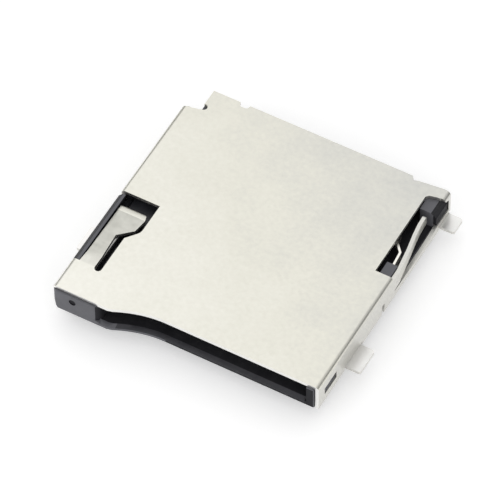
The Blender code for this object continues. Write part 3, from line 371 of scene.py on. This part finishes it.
def leaf_material():
    """Tin with painted shade, darker from the leaf's root to its middle."""
    made, tree, shader = start_material(
        "leaf_painted_shade", colour=LEAF_SHADED_TONE, metallic=1.0, roughness=0.42)
    place = millimetres(tree)
    along = tree.nodes.new("ShaderNodeSeparateXYZ")
    tree.links.new(place, along.inputs["Vector"])
    leaf_speckle = noise(tree, place, scale=2.2, detail=4.0, roughness=0.6)
    # Painted shade: darker from the leaf's root to its middle.
    shade_along = spread(tree, along.outputs["Y"], *LEAF_SHADE_SPAN, LEAF_FADE_FROM, LEAF_FADE_TO)
    shade_and_mottle = reckon(tree, "ADD", shade_along, spread(tree, leaf_speckle, *LEAF_MOTTLE))
    tone(tree, shader, shade_and_mottle, LEAF_ROOT_TONE, LEAF_SHADED_TONE)
    tree.links.new(spread(tree, leaf_speckle, *LEAF_ROUGHNESS), shader.inputs["Roughness"])
    rolled_grain(tree, shader)
    return made


def sheared_material():
    """The cut edge of the sheet: bare metal, with upright streaks from the punch."""
    made, tree, shader = start_material(
        "sheared_edge", colour=(0.74, 0.73, 0.69), metallic=1.0, roughness=0.42)
    streaks = noise(tree, millimetres(tree, PUNCH_STREAKS), scale=30.0, detail=3.0)
    tone(tree, shader, spread(tree, streaks, 0.0, 1.0), *SHEARED_TONES)
    tree.links.new(spread(tree, streaks, *SHEARED_ROUGHNESS), shader.inputs["Roughness"])
    relief(tree, shader, streaks, strength=0.4, depth=0.003)
    return made


TIN = tin_material("tin_plating", (TIN_LIT, TIN_MIDDLE, TIN_SHADED))
# Painted light: a whiter tin on the feet against their shade, and a painted highlight on the cuts
# along the mouth.
PAINTED_LIGHT_TIN = tin_material("pale_tin_painted_light", (FOOT_LIT, FOOT_SHADED))
LEAF_TIN = leaf_material()
SHEARED = sheared_material()
print("metal sheet:", [made.name for made in (TIN, PAINTED_LIGHT_TIN, LEAF_TIN, SHEARED)])

# %% [markdown]
# The moulding is a black heat-proof resin filled with glass fibre. It comes out of the tool
# with a very fine grain and faint flow clouds. Inside the card's room and on a few small faces
# the resin gets painted shade, darker and with less shine, and the lip of the mouth gets a
# lighter painted shade between the two. The slider is the same kind of resin, darker than the
# outside.

# %% Moulded plastics
OUTER_TONES = ((0.104, 0.105, 0.118), (0.138, 0.139, 0.155))
# Painted shade at the lip of the mouth, lighter than the shade inside.
LIP_TONES = ((0.046, 0.046, 0.053), (0.066, 0.066, 0.074))
# Painted shade for the card's room and other faces deep in the moulding.
SHADE_TONES = ((0.018, 0.018, 0.021), (0.030, 0.030, 0.034))
SLIDER_TONES = ((0.026, 0.027, 0.032), (0.040, 0.041, 0.047))
FLOW_STRETCH = (1.0, 0.35, 1.0)
GLOSS_CHANGE = 0.07


def resin_material(name, tones, roughness, shine=0.5):
    """Black resin: flow clouds between two tones, and a fine grain in the gloss and the relief."""
    dark, light = tones
    made, tree, shader = start_material(name, dark, 0.0, roughness)
    grain = noise(tree, millimetres(tree), scale=22.0, detail=3.0)
    flow = noise(tree, millimetres(tree, FLOW_STRETCH), scale=0.9, detail=4.0, roughness=0.6)
    tone(tree, shader, spread(tree, flow, 0.0, 1.0), dark, light)
    gloss = spread(tree, grain, roughness - GLOSS_CHANGE, roughness + GLOSS_CHANGE)
    tree.links.new(gloss, shader.inputs["Roughness"])
    shader.inputs["Specular IOR Level"].default_value = shine
    relief(tree, shader, grain, strength=0.5, depth=0.004)
    return made


RESIN = resin_material("black_resin", OUTER_TONES, roughness=0.5)
# Painted shade for the lip of the mouth.
LIP_RESIN = resin_material("lip_resin", LIP_TONES, roughness=0.5, shine=0.3)
# Painted shade, darker and with less shine, for faces deep inside.
SHADE_RESIN = resin_material("painted_shade_resin", SHADE_TONES, roughness=0.5, shine=0.1)
SLIDER_RESIN = resin_material("slider_resin", SLIDER_TONES, roughness=0.45)
print("resins:", [made.name for made in (RESIN, LIP_RESIN, SHADE_RESIN, SLIDER_RESIN)])

# %% [markdown]
# The contacts are stamped from thin bronze and plated bright, so they are smoother and a
# little warmer than the shell. The spring and the cam pin are drawn wire: drawing leaves fine
# lines along it, but on so thin a wire only a slight unevenness of gloss shows.

# %% Bright metals
PLATING_TONES = ((0.83, 0.805, 0.74), (0.90, 0.885, 0.83))
PLATING_ROUGHNESS = (0.17, 0.30)
PLATING_STRETCH = (1.0, 0.3, 1.0)
WIRE_TONES = ((0.62, 0.61, 0.59), (0.80, 0.79, 0.77))
WIRE_ROUGHNESS = (0.18, 0.32)


def plated_material():
    """Bright plating with a faint haze along the strip."""
    made, tree, shader = start_material(
        "bright_plating", colour=(0.88, 0.86, 0.80), metallic=1.0, roughness=0.22)
    haze = noise(tree, millimetres(tree, PLATING_STRETCH), scale=9.0, detail=3.0)
    tone(tree, shader, spread(tree, haze, 0.0, 1.0), *PLATING_TONES)
    tree.links.new(spread(tree, haze, *PLATING_ROUGHNESS), shader.inputs["Roughness"])
    relief(tree, shader, haze, strength=0.2, depth=0.0015)
    return made


def wire_material():
    """Drawn wire with a slight unevenness of gloss."""
    made, tree, shader = start_material(
        "drawn_wire", colour=(0.74, 0.73, 0.71), metallic=1.0, roughness=0.24)
    lines = noise(tree, millimetres(tree), scale=14.0, detail=2.0)
    tone(tree, shader, spread(tree, lines, 0.0, 1.0), *WIRE_TONES)
    tree.links.new(spread(tree, lines, *WIRE_ROUGHNESS), shader.inputs["Roughness"])
    relief(tree, shader, lines, strength=0.2, depth=0.001)
    return made


PLATING = plated_material()
WIRE = wire_material()
print("bright metals:", [made.name for made in (PLATING, WIRE)])

# %% [markdown]
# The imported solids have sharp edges, and no stamped or moulded part has those: a punch rolls
# the edge over, and a mould tool has a small radius. A copy of each solid is welded, its flat
# faces are joined again, and its long outer edges get a narrow bevel. The bevel is done in
# bmesh, edge by edge, because a Bevel modifier would also take the many tiny edges. Bright metal
# shows the smallest error in shading, so the normals are worked out here: a large flat face
# keeps its own, and the bends and bevels beside it turn smoothly away from it.

# %% Mesh helpers
WELD = 1e-7
FLAT_ANGLE = math.radians(0.6)
SHARP_ANGLE = math.radians(28.0)
SMOOTH_ANGLE = math.radians(50.0)
LARGE_AREA = 4.0
BEVEL_STEPS = 2


def welded_copy(node):
    """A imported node's mesh in a bmesh, its doubles merged and its flat faces joined."""
    bm = bmesh.new()
    bm.from_mesh(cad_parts[node].data)
    bmesh.ops.remove_doubles(bm, verts=bm.verts, dist=WELD)
    bmesh.ops.dissolve_limit(bm, angle_limit=FLAT_ANGLE, verts=bm.verts, edges=bm.edges)
    return bm


def is_outer_edge(edge, shortest):
    """True on a sharp edge that stands out and is long enough to round."""
    if len(edge.link_faces) != 2 or edge.calc_length() < shortest:
        return False
    return edge.is_convex and edge.calc_face_angle(0.0) > SHARP_ANGLE


def round_edges(bm, width, shortest):
    """A narrow bevel along the long outer edges; both sizes are in millimetres."""
    edges = [edge for edge in bm.edges if is_outer_edge(edge, shortest * MM)]
    bmesh.ops.bevel(
        bm,
        geom=edges,
        offset=width * MM,
        offset_type="OFFSET",
        segments=BEVEL_STEPS,
        profile=0.5,
        affect="EDGES",
        clamp_overlap=True,
        material=-1,
    )
    return len(edges)


def flat_areas(bm):
    """For each face, the area in square millimetres of the flat region that it belongs to."""
    region = {}
    areas = []
    for seed in bm.faces:
        if seed in region:
            continue
        region[seed] = len(areas)
        area = 0.0
        waiting = [seed]
        while waiting:
            face = waiting.pop()
            area += face.calc_area() / MM ** 2
            for other in (near for edge in face.edges for near in edge.link_faces):
                if other not in region and other.normal.dot(seed.normal) > math.cos(FLAT_ANGLE):
                    region[other] = len(areas)
                    waiting.append(other)
        areas.append(area)
    return {face: areas[number] for face, number in region.items()}


def corner_normals(bm):
    """A normal for each corner of each face; a large flat region keeps its own."""
    areas = flat_areas(bm)
    found = []
    for face in bm.faces:
        for corner in face.loops:
            near = [other for other in corner.vert.link_faces
                    if other.normal.dot(face.normal) > math.cos(SMOOTH_ANGLE)]
            widest = max(near, key=areas.get)
            if areas[widest] > LARGE_AREA:
                found.append(widest.normal.copy())
            else:
                total = sum((other.normal * other.calc_area() for other in near), Vector())
                found.append(total.normalized())
    return found


def piece_from(bm, name, materials, body, nodes):
    """The finished piece from a bmesh, with its own normals."""
    mesh = bpy.data.meshes.new(name)
    bm.normal_update()
    bm.to_mesh(mesh)
    normals = corner_normals(bm)
    bm.free()
    mesh.shade_smooth()
    mesh.normals_split_custom_set(normals)
    return piece_of(mesh, name, materials, body, nodes)


def piece_of(mesh, name, materials, body, nodes):
    """A mesh as a piece: given more finishes, riding on its body and standing for its nodes."""
    obj = bpy.data.objects.new(name, mesh)
    scene.collection.objects.link(obj)
    mesh.name = name
    for finish in materials:
        mesh.materials.append(finish)
    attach(obj, body)
    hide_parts(*nodes)
    finish_names = [finish.name for finish in mesh.materials if finish]
    print(name, "faces:", len(mesh.polygons), "finishes:", finish_names)
    return obj

# %% [markdown]
# The shell's skin is plated, but where the punch cut it, the bare edge shows, rougher and with
# upright streaks. A ray cast inwards from each face tells the two apart, because the far skin
# lies one sheet thickness behind a skin face, and much further behind a cut edge. The cuts
# along the mouth face the light, so they get the feet's pale tin as a painted highlight. The
# leaf, which gets painted shade, and the feet, whose whiter tin is painted light, are found by
# boxes in the part's frame, given by their low and high corners in millimetres.

# %% Shell
SHEET = 0.2
SKIN_WITHIN_SHEETS = 1.6
JUST_INSIDE = 1e-6
SHELL_ROUND = 0.022
SHELL_SHORTEST = 0.09
MANY_CORNERS = 40
FRONT_CUT_BEFORE = -2.4
FRONT_CUT_SLOPE = -0.4
LEAF_BOX = ((-7.2, -1.7, 1.2), (-5.4, 2.3, 1.72))
FOOT_BOXES = [((7.5, -0.5, -0.1), (8.5, 11.5, 0.3)), ((-8.5, -0.5, -0.1), (-7.5, 2.0, 0.3))]
PLAIN, CUT, LEAF, PALE = range(4)


def mark_cut_edges(bm, thickness, slot):
    """Gives the faces of a folded sheet's cut edges another material slot."""
    tree = BVHTree.FromBMesh(bm)
    found = 0
    for face in bm.faces:
        start = face.calc_center_median_weighted() - face.normal * JUST_INSIDE
        hit, _, _, depth = tree.ray_cast(start, -face.normal)
        if hit is None or depth > SKIN_WITHIN_SHEETS * thickness * MM:
            face.material_index = slot
            found += 1
    return found


def mark_front_cuts(bm, before, slot):
    """Gives the cut edges that face the mouth, ahead of a Y in millimetres, another slot."""
    found = 0
    for face in bm.faces:
        ahead = face.calc_center_median().y < before * MM
        if face.material_index == CUT and ahead and face.normal.y < FRONT_CUT_SLOPE:
            face.material_index = slot
            found += 1
    return found


def in_box(place, low, high):
    """True where a place in metres lies in a box in millimetres."""
    return all(a < value < b for a, value, b in zip(low, place / MM, high))


def mark_box(bm, low, high, slot):
    """Gives the plain faces whose middle lies in a box another material slot."""
    found = 0
    for face in bm.faces:
        if face.material_index == PLAIN and in_box(face.calc_center_median(), low, high):
            face.material_index = slot
            found += 1
    return found


shell_bm = welded_copy("shell")
wide_faces = [face for face in shell_bm.faces if len(face.verts) > MANY_CORNERS]
bmesh.ops.triangulate(shell_bm, faces=wide_faces)
print("cut-edge faces:", mark_cut_edges(shell_bm, SHEET, CUT))
print("rounded edges:", round_edges(shell_bm, SHELL_ROUND, SHELL_SHORTEST))
# Painted shade: the leaf gets a tin that darkens towards its middle.
print("leaf faces:", mark_box(shell_bm, *LEAF_BOX, LEAF))
# Painted light: the feet get the whiter tin against their shade near the floor.
for foot_box in FOOT_BOXES:
    print("foot faces:", mark_box(shell_bm, *foot_box, PALE))
# Painted highlight: the cut edges along the mouth get the pale tin because they face the light.
print("front cut faces:", mark_front_cuts(shell_bm, FRONT_CUT_BEFORE, PALE))
shell_finishes = [TIN, SHEARED, LEAF_TIN, PAINTED_LIGHT_TIN]
piece_from(shell_bm, "shell_dressed", shell_finishes, "socket", ["shell"])

# %% [markdown]
# The housing is one moulding. Its outer edges get the radius of the tool. The rib in the left
# flange gets a wider slope, and its top reaches a little closer to the leaf. The card's room, the
# slope of the rib and the sloped shoulder behind the card switch get painted shade, a darker
# resin with less shine, and the lip of the mouth gets a lighter painted shade between them.

# %% Housing
HOUSING_ROUND = 0.03
HOUSING_SHORTEST = 0.1
LIP_BOX = ((-4.7, -3.6, 0.31), (6.9, -2.51, 0.45))
RIB_TOP_BOX = ((-7.6, -1.8, 1.65), (-7.2, 3.3, 1.8))
RIB_EDGE_MOVES = [(-7.45, -7.30), (-7.25, -7.15)]
EDGE_WITHIN = 0.02
# Boxes of faces that get painted shade.
SHADE_BOXES = {
    "card's room": ((-7.26, -2.51, 0.25), (6.9, 10.3, 1.49)),
    "mouth's sides": ((-7.26, -3.83, 0.45), (6.9, -2.51, 1.49)),
    "rib's slope": ((-7.8, -1.8, 0.8), (-7.40, 3.4, 1.66)),
    "shoulder's slope": ((7.12, 9.7, 0.55), (7.5, 11.05, 1.5)),
}
SHADE_SLOT, LIP = 1, 2


def move_rib_edges(bm):
    """Makes the rib's slope wider and its top reach closer to the leaf."""
    moved = 0
    for vertex in bm.verts:
        place = vertex.co / MM
        for old, new in RIB_EDGE_MOVES:
            if in_box(vertex.co, *RIB_TOP_BOX) and abs(place.x - old) < EDGE_WITHIN:
                vertex.co.x = new * MM
                moved += 1
                break
    return moved


housing_bm = welded_copy("housing")
print("rib corners moved:", move_rib_edges(housing_bm))
print("rounded edges:", round_edges(housing_bm, HOUSING_ROUND, HOUSING_SHORTEST))
# Painted shade: the faces in these boxes get the darker resin.
for shade_name, shade_box in SHADE_BOXES.items():
    print(shade_name, "faces:", mark_box(housing_bm, *shade_box, SHADE_SLOT))
# Painted shade: the lip of the mouth gets a darker resin, lighter than the card's room.
print("lip faces:", mark_box(housing_bm, *LIP_BOX, LIP))
housing_finishes = [RESIN, SHADE_RESIN, LIP_RESIN]
piece_from(housing_bm, "housing_dressed", housing_finishes, "socket", ["housing"])

# %% [markdown]
# The slider carries the heart-shaped cam and pushes the card out. It has to slide, so its edges
# get the housing's radius too, and shorter ones are rounded than there.

# %% Slider
SLIDER_ROUND = 0.03
SLIDER_SHORTEST = 0.08

slider_bm = welded_copy("slider")
print("rounded edges:", round_edges(slider_bm, SLIDER_ROUND, SLIDER_SHORTEST))
piece_from(slider_bm, "slider_dressed", [SLIDER_RESIN], "ejector", ["slider"])

# %% [markdown]
# A contact is one strip of bronze, stamped flat and then bent. From its solder tail it steps up
# into the floor, runs forward beside its slot, turns back on itself and rises to a crown that
# touches the card. Each station below is the strip's two edges and its level. A smooth curve
# through the stations gives the strip its spring shape, and a rounded section its soft edges.

# %% Contact strip
STRIP_THICK = 0.12
STRIP_ROUND = 0.028
CONTACT_X = 5.48
CONTACT_TAIL = [
    ((0.20, 11.62), (-0.20, 11.62), 0.06),
    ((0.20, 11.00), (-0.20, 11.00), 0.06),
    ((0.20, 10.90), (-0.20, 10.90), 0.075),
    ((0.20, 10.64), (-0.20, 10.64), 0.195),
    ((0.20, 10.54), (-0.20, 10.54), 0.21),
    ((0.20, 10.17), (-0.20, 10.03), 0.21),
    ((-0.42, 9.77), (-0.68, 9.63), 0.21),
]
CONTACT_LANE = [
    ((-0.42, 4.05), (-0.68, 3.75), 0.21),
    ((-0.25, 4.05), (0.25, 3.75), 0.21),
]
BEAM_STATIONS = [
    (4.45, 0.50, 0.210),
    (4.85, 0.50, 0.250),
    (5.10, 0.50, 0.297),
    (5.34, 0.38, 0.360),
    (6.00, 0.38, 0.590),
    (6.90, 0.38, 0.876),
    (7.20, 0.38, 0.918),
    (7.45, 0.38, 0.872),
    (8.20, 0.35, 0.505),
    (8.73, 0.32, 0.250),
    (8.82, 0.20, 0.212),
]
BEAM_STEPS = 5
CORNER_SHARE = 0.3


def through(values, t):
    """A smooth value between four in a row, with t from 0 to 1 between the middle two."""
    a, b, c, d = values
    slope_in = (c - a) / 2
    slope_out = (d - b) / 2
    near = (2 * t - 3) * t * t + 1
    return near * b + (1 - near) * c + t * (1 - t) ** 2 * slope_in - (1 - t) * t * t * slope_out


def beam_path():
    """The flexing part's stations, smoothed, each as (y, width, level)."""
    padded = [BEAM_STATIONS[0]] + BEAM_STATIONS + [BEAM_STATIONS[-1]]
    found = []
    for i in range(1, len(padded) - 2):
        for step in range(BEAM_STEPS):
            t = step / BEAM_STEPS
            rows = padded[i - 1:i + 3]
            y = rows[1][0] + (rows[2][0] - rows[1][0]) * t
            width = rows[1][1] + (rows[2][1] - rows[1][1]) * t
            found.append((y, width, through([row[2] for row in rows], t)))
    return found + [BEAM_STATIONS[-1]]


def mesh_from_rings(name, bm, rings):
    """Joins rings of points, one after the other, into a closed mesh."""
    for one, two in zip(rings, rings[1:]):
        for i in range(len(one)):
            j = (i + 1) % len(one)
            bm.faces.new((one[i], one[j], two[j], two[i]))
    bm.faces.new(rings[0])
    bm.faces.new(rings[-1])
    bmesh.ops.recalc_face_normals(bm, faces=bm.faces)
    mesh = bpy.data.meshes.new(name)
    bm.to_mesh(mesh)
    bm.free()
    return mesh


def rounded_strip(name, stations, thick, corner):
    """A closed strip with rounded corners through (edge, other edge, level) stations, in mm."""
    bm = bmesh.new()
    rings = []
    half = thick / 2
    for one, other, level in stations:
        a, b = Vector(one), Vector(other)
        inwards = (b - a).normalized() * corner
        cut_in = inwards * CORNER_SHARE
        cut_up = corner * CORNER_SHARE
        section = [
            (a + inwards, -half), (b - inwards, -half), (b - cut_in, -half + cut_up),
            (b, -half + corner), (b, half - corner), (b - cut_in, half - cut_up),
            (b - inwards, half), (a + inwards, half), (a + cut_in, half - cut_up),
            (a, half - corner), (a, -half + corner), (a + cut_in, -half + cut_up),
        ]
        rings.append([bm.verts.new(Vector((p.x, p.y, level + lift)) * MM) for p, lift in section])
    return mesh_from_rings(name, bm, rings)


beam = [((-width / 2, y), (width / 2, y), level) for y, width, level in beam_path()]
contact_mesh = rounded_strip("contact", CONTACT_TAIL + CONTACT_LANE + beam, STRIP_THICK, STRIP_ROUND)
for vertex in contact_mesh.vertices:
    vertex.co.x += CONTACT_X * MM
print("one contact, faces:", len(contact_mesh.polygons))

# %% [markdown]
# The eight contacts are the same stamping, cut from one carrier at the card's pitch, so they
# are one strip repeated by a node tree. Its inputs are the count, the pitch and the finish, and
# because the tree gives the finish, the piece gets no other.

# %% Repeated contacts
CONTACT_COUNT = 8
CONTACT_PITCH = 1.1


def new_tree(name, inputs):
    """A Geometry Nodes tree with a geometry in and out, and named inputs."""
    tree = bpy.data.node_groups.new(name, "GeometryNodeTree")
    tree.interface.new_socket("Geometry", in_out="INPUT", socket_type="NodeSocketGeometry")
    tree.interface.new_socket("Geometry", in_out="OUTPUT", socket_type="NodeSocketGeometry")
    for label, kind in inputs:
        tree.interface.new_socket(label, in_out="INPUT", socket_type=kind)
    return tree, tree.nodes.new("NodeGroupInput"), tree.nodes.new("NodeGroupOutput")


def grown_mesh(name, tree, start, values):
    """The mesh that a tree makes from a start mesh, with its inputs set by name."""
    obj = bpy.data.objects.new(name, start)
    scene.collection.objects.link(obj)
    modifier = obj.modifiers.new(name, "NODES")
    modifier.node_group = tree
    for item in tree.interface.items_tree:
        if item.in_out == "INPUT" and item.name in values:
            modifier[item.identifier] = values[item.name]
    obj.update_tag()
    graph = bpy.context.evaluated_depsgraph_get()
    mesh = bpy.data.meshes.new_from_object(obj.evaluated_get(graph))
    obj.modifiers.clear()
    bpy.data.objects.remove(obj)
    return mesh


row, row_in, row_out = new_tree("contact_row", [
    ("Count", "NodeSocketInt"), ("Pitch", "NodeSocketFloat"), ("Finish", "NodeSocketMaterial"),
])
row_step = row.nodes.new("ShaderNodeCombineXYZ")
row_line = row.nodes.new("GeometryNodeMeshLine")
row_place = row.nodes.new("GeometryNodeInstanceOnPoints")
row_real = row.nodes.new("GeometryNodeRealizeInstances")
row_finish = row.nodes.new("GeometryNodeSetMaterial")
row.links.new(row_in.outputs["Pitch"], row_step.inputs["X"])
row.links.new(row_in.outputs["Count"], row_line.inputs["Count"])
row.links.new(row_step.outputs["Vector"], row_line.inputs["Offset"])
row.links.new(row_line.outputs["Mesh"], row_place.inputs["Points"])
row.links.new(row_in.outputs["Geometry"], row_place.inputs["Instance"])
row.links.new(row_place.outputs["Instances"], row_real.inputs["Geometry"])
row.links.new(row_real.outputs["Geometry"], row_finish.inputs["Geometry"])
row.links.new(row_in.outputs["Finish"], row_finish.inputs["Material"])
row.links.new(row_finish.outputs["Geometry"], row_out.inputs["Geometry"])

contacts_mesh = grown_mesh("contact_row", row, contact_mesh, {
    "Count": CONTACT_COUNT,
    "Pitch": -CONTACT_PITCH * MM,
    "Finish": PLATING,
})
contacts_mesh.shade_smooth()
contacts_mesh.set_sharp_from_angle(angle=SMOOTH_ANGLE)
contact_nodes = [f"contact_{index + 1}" for index in range(CONTACT_COUNT)]
piece_of(contacts_mesh, "contacts_dressed", [], "socket", contact_nodes)

# %% [markdown]
# The detect terminal is stamped from the same strip. It folds up through the floor into a blade
# that stands on edge beside the card. The solid has its folds already, so its edges are only
# softened the way tumbling and plating leave them.

# %% Detect terminal
TERMINAL_ROUND = 0.018
TERMINAL_SHORTEST = 0.06

terminal_bm = welded_copy("detect_terminal")
print("rounded edges:", round_edges(terminal_bm, TERMINAL_ROUND, TERMINAL_SHORTEST))
piece_from(
    terminal_bm, "terminal_dressed", [PLATING], "socket", ["detect_terminal"])

# %% [markdown]
# The cam pin is a short staple of drawn wire. One end turns in the housing and the other runs
# in the slider's heart-shaped track, so its ends are tumbled round. A ring of points is swept
# along the staple's line, with round bends and ends that narrow to a dome.

# %% Cam pin
PIN_X = -6.4
PIN_BACK = 1.95
PIN_FRONT = -3.4
PIN_LEVEL = 1.16
PIN_FRONT_LOW = 0.5
PIN_BACK_LOW = 0.65
PIN_RADIUS = 0.13
PIN_BEND = 0.16
PIN_SIDES = 20
BEND_STEPS = 8
DOME = [(0.0, 0.35), (0.02, 0.70), (0.06, 0.93), (0.12, 1.0)]


def pin_line():
    """The staple's middle line as (y, z), each with the share of the full radius there."""
    line = [(PIN_FRONT, PIN_FRONT_LOW + rise, share) for rise, share in DOME]
    for step in range(BEND_STEPS + 1):
        angle = math.pi - math.pi / 2 * step / BEND_STEPS
        y = PIN_FRONT + PIN_BEND + PIN_BEND * math.cos(angle)
        line.append((y, PIN_LEVEL - PIN_BEND + PIN_BEND * math.sin(angle), 1.0))
    for step in range(BEND_STEPS + 1):
        angle = math.pi / 2 - math.pi / 2 * step / BEND_STEPS
        y = PIN_BACK - PIN_BEND + PIN_BEND * math.cos(angle)
        line.append((y, PIN_LEVEL - PIN_BEND + PIN_BEND * math.sin(angle), 1.0))
    return line + [(PIN_BACK, PIN_BACK_LOW + rise, share) for rise, share in reversed(DOME)]


def swept_wire(name, line, radius, sides):
    """A round wire in the plane X = PIN_X along (y, z, share of the radius)."""
    bm = bmesh.new()
    rings = []
    for i, (y, z, share) in enumerate(line):
        before = line[max(i - 1, 0)]
        after = line[min(i + 1, len(line) - 1)]
        along = Vector((0.0, after[0] - before[0], after[1] - before[1])).normalized()
        outwards = Vector((0.0, -along.z, along.y))
        ring = []
        for side in range(sides):
            angle = 2 * math.pi * side / sides
            spoke = Vector((math.cos(angle), 0.0, 0.0)) + outwards * math.sin(angle)
            ring.append(bm.verts.new((Vector((PIN_X, y, z)) + spoke * radius * share) * MM))
        rings.append(ring)
    return mesh_from_rings(name, bm, rings)


pin_mesh = swept_wire("cam_pin", pin_line(), PIN_RADIUS, PIN_SIDES)
pin_mesh.shade_smooth()
pin_mesh.set_sharp_from_angle(angle=SMOOTH_ANGLE)
piece_of(pin_mesh, "pin_dressed", [WIRE], "latch", ["cam_pin"])

# %% [markdown]
# The eject spring is a compression spring with one closed turn at each end. A node tree bends a
# straight line into the coil: each point's turn number gives its angle, and its way along Y
# grows slowly over the closed turns and quickly over the open ones. A circle is then swept along
# it. The real spring shortens as the slider goes in.

# %% Eject spring
SPRING_TURNS = 17.0
END_TURNS = 1.0
TURN_STEPS = 22
SPRING_WIRE = 0.16
WIRE_SIDES = 12
CLOSED_PITCH = 1.15

coil_low, coil_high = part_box("coil_spring")
coil_radius = (coil_high[0] - coil_low[0]) / 2 - SPRING_WIRE / 2 * MM
coil_x = (coil_high[0] + coil_low[0]) / 2
coil_z = (coil_high[2] + coil_low[2]) / 2
coil_front = coil_low[1] + SPRING_WIRE / 2 * MM
coil_back = coil_high[1] - SPRING_WIRE / 2 * MM
closed_pitch = CLOSED_PITCH * SPRING_WIRE * MM
open_turns = SPRING_TURNS - 2 * END_TURNS
open_pitch = (coil_back - coil_front - 2 * END_TURNS * closed_pitch) / open_turns
print("open pitch in mm:", round(open_pitch / MM, 3))

coil, coil_in, coil_out = new_tree("coil", [
    ("Turns", "NodeSocketFloat"),
    ("End turns", "NodeSocketFloat"),
    ("Points", "NodeSocketInt"),
    ("Coil radius", "NodeSocketFloat"),
    ("Wire radius", "NodeSocketFloat"),
    ("Closed pitch", "NodeSocketFloat"),
    ("Open pitch", "NodeSocketFloat"),
    ("Start", "NodeSocketVector"),
    ("Finish", "NodeSocketMaterial"),
])

line = coil.nodes.new("GeometryNodeCurvePrimitiveLine")
dense = coil.nodes.new("GeometryNodeResampleCurve")
share = coil.nodes.new("GeometryNodeSplineParameter")
coil.links.new(line.outputs["Curve"], dense.inputs["Curve"])
coil.links.new(coil_in.outputs["Points"], dense.inputs["Count"])
turn = reckon(coil, "MULTIPLY", share.outputs["Factor"], coil_in.outputs["Turns"])
from_end = reckon(coil, "SUBTRACT", turn, coil_in.outputs["End turns"])
both_ends = reckon(coil, "MULTIPLY", coil_in.outputs["End turns"], 2.0)
free_turns = reckon(coil, "SUBTRACT", coil_in.outputs["Turns"], both_ends)
opened = reckon(coil, "MINIMUM", reckon(coil, "MAXIMUM", from_end, 0.0), free_turns)
shut = reckon(coil, "SUBTRACT", turn, opened)
shut_way = reckon(coil, "MULTIPLY", shut, coil_in.outputs["Closed pitch"])
opened_way = reckon(coil, "MULTIPLY", opened, coil_in.outputs["Open pitch"])
way = reckon(coil, "ADD", shut_way, opened_way)
angle = reckon(coil, "MULTIPLY", turn, 2 * math.pi)
round_x = reckon(coil, "MULTIPLY", reckon(coil, "COSINE", angle), coil_in.outputs["Coil radius"])
round_z = reckon(coil, "MULTIPLY", reckon(coil, "SINE", angle), coil_in.outputs["Coil radius"])
bent = coil.nodes.new("ShaderNodeCombineXYZ")
coil.links.new(round_x, bent.inputs["X"])
coil.links.new(way, bent.inputs["Y"])
coil.links.new(round_z, bent.inputs["Z"])
moved = coil.nodes.new("ShaderNodeVectorMath")
coil.links.new(bent.outputs["Vector"], moved.inputs[0])
coil.links.new(coil_in.outputs["Start"], moved.inputs[1])
set_place = coil.nodes.new("GeometryNodeSetPosition")
coil.links.new(dense.outputs["Curve"], set_place.inputs["Geometry"])
coil.links.new(moved.outputs["Vector"], set_place.inputs["Position"])
ring = coil.nodes.new("GeometryNodeCurvePrimitiveCircle")
ring.inputs["Resolution"].default_value = WIRE_SIDES
coil.links.new(coil_in.outputs["Wire radius"], ring.inputs["Radius"])
sweep = coil.nodes.new("GeometryNodeCurveToMesh")
sweep.inputs["Fill Caps"].default_value = True
coil.links.new(set_place.outputs["Geometry"], sweep.inputs["Curve"])
coil.links.new(ring.outputs["Curve"], sweep.inputs["Profile Curve"])
coil_finish = coil.nodes.new("GeometryNodeSetMaterial")
coil.links.new(sweep.outputs["Mesh"], coil_finish.inputs["Geometry"])
coil.links.new(coil_in.outputs["Finish"], coil_finish.inputs["Material"])
coil_real = coil.nodes.new("GeometryNodeRealizeInstances")
coil.links.new(coil_finish.outputs["Geometry"], coil_real.inputs["Geometry"])
coil.links.new(coil_real.outputs["Geometry"], coil_out.inputs["Geometry"])

spring_mesh = grown_mesh("coil", coil, bpy.data.meshes.new("seed"), {
    "Turns": SPRING_TURNS,
    "End turns": END_TURNS,
    "Points": int(SPRING_TURNS * TURN_STEPS) + 1,
    "Coil radius": coil_radius,
    "Wire radius": SPRING_WIRE / 2 * MM,
    "Closed pitch": closed_pitch,
    "Open pitch": open_pitch,
    "Start": (coil_x, coil_front, coil_z),
    "Finish": WIRE,
})
spring_bm = bmesh.new()
spring_bm.from_mesh(spring_mesh)
bmesh.ops.remove_doubles(spring_bm, verts=spring_bm.verts, dist=WELD)
bmesh.ops.recalc_face_normals(spring_bm, faces=spring_bm.faces)
spring = piece_from(spring_bm, "spring_dressed", [WIRE], "socket", ["coil_spring"])
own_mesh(spring)
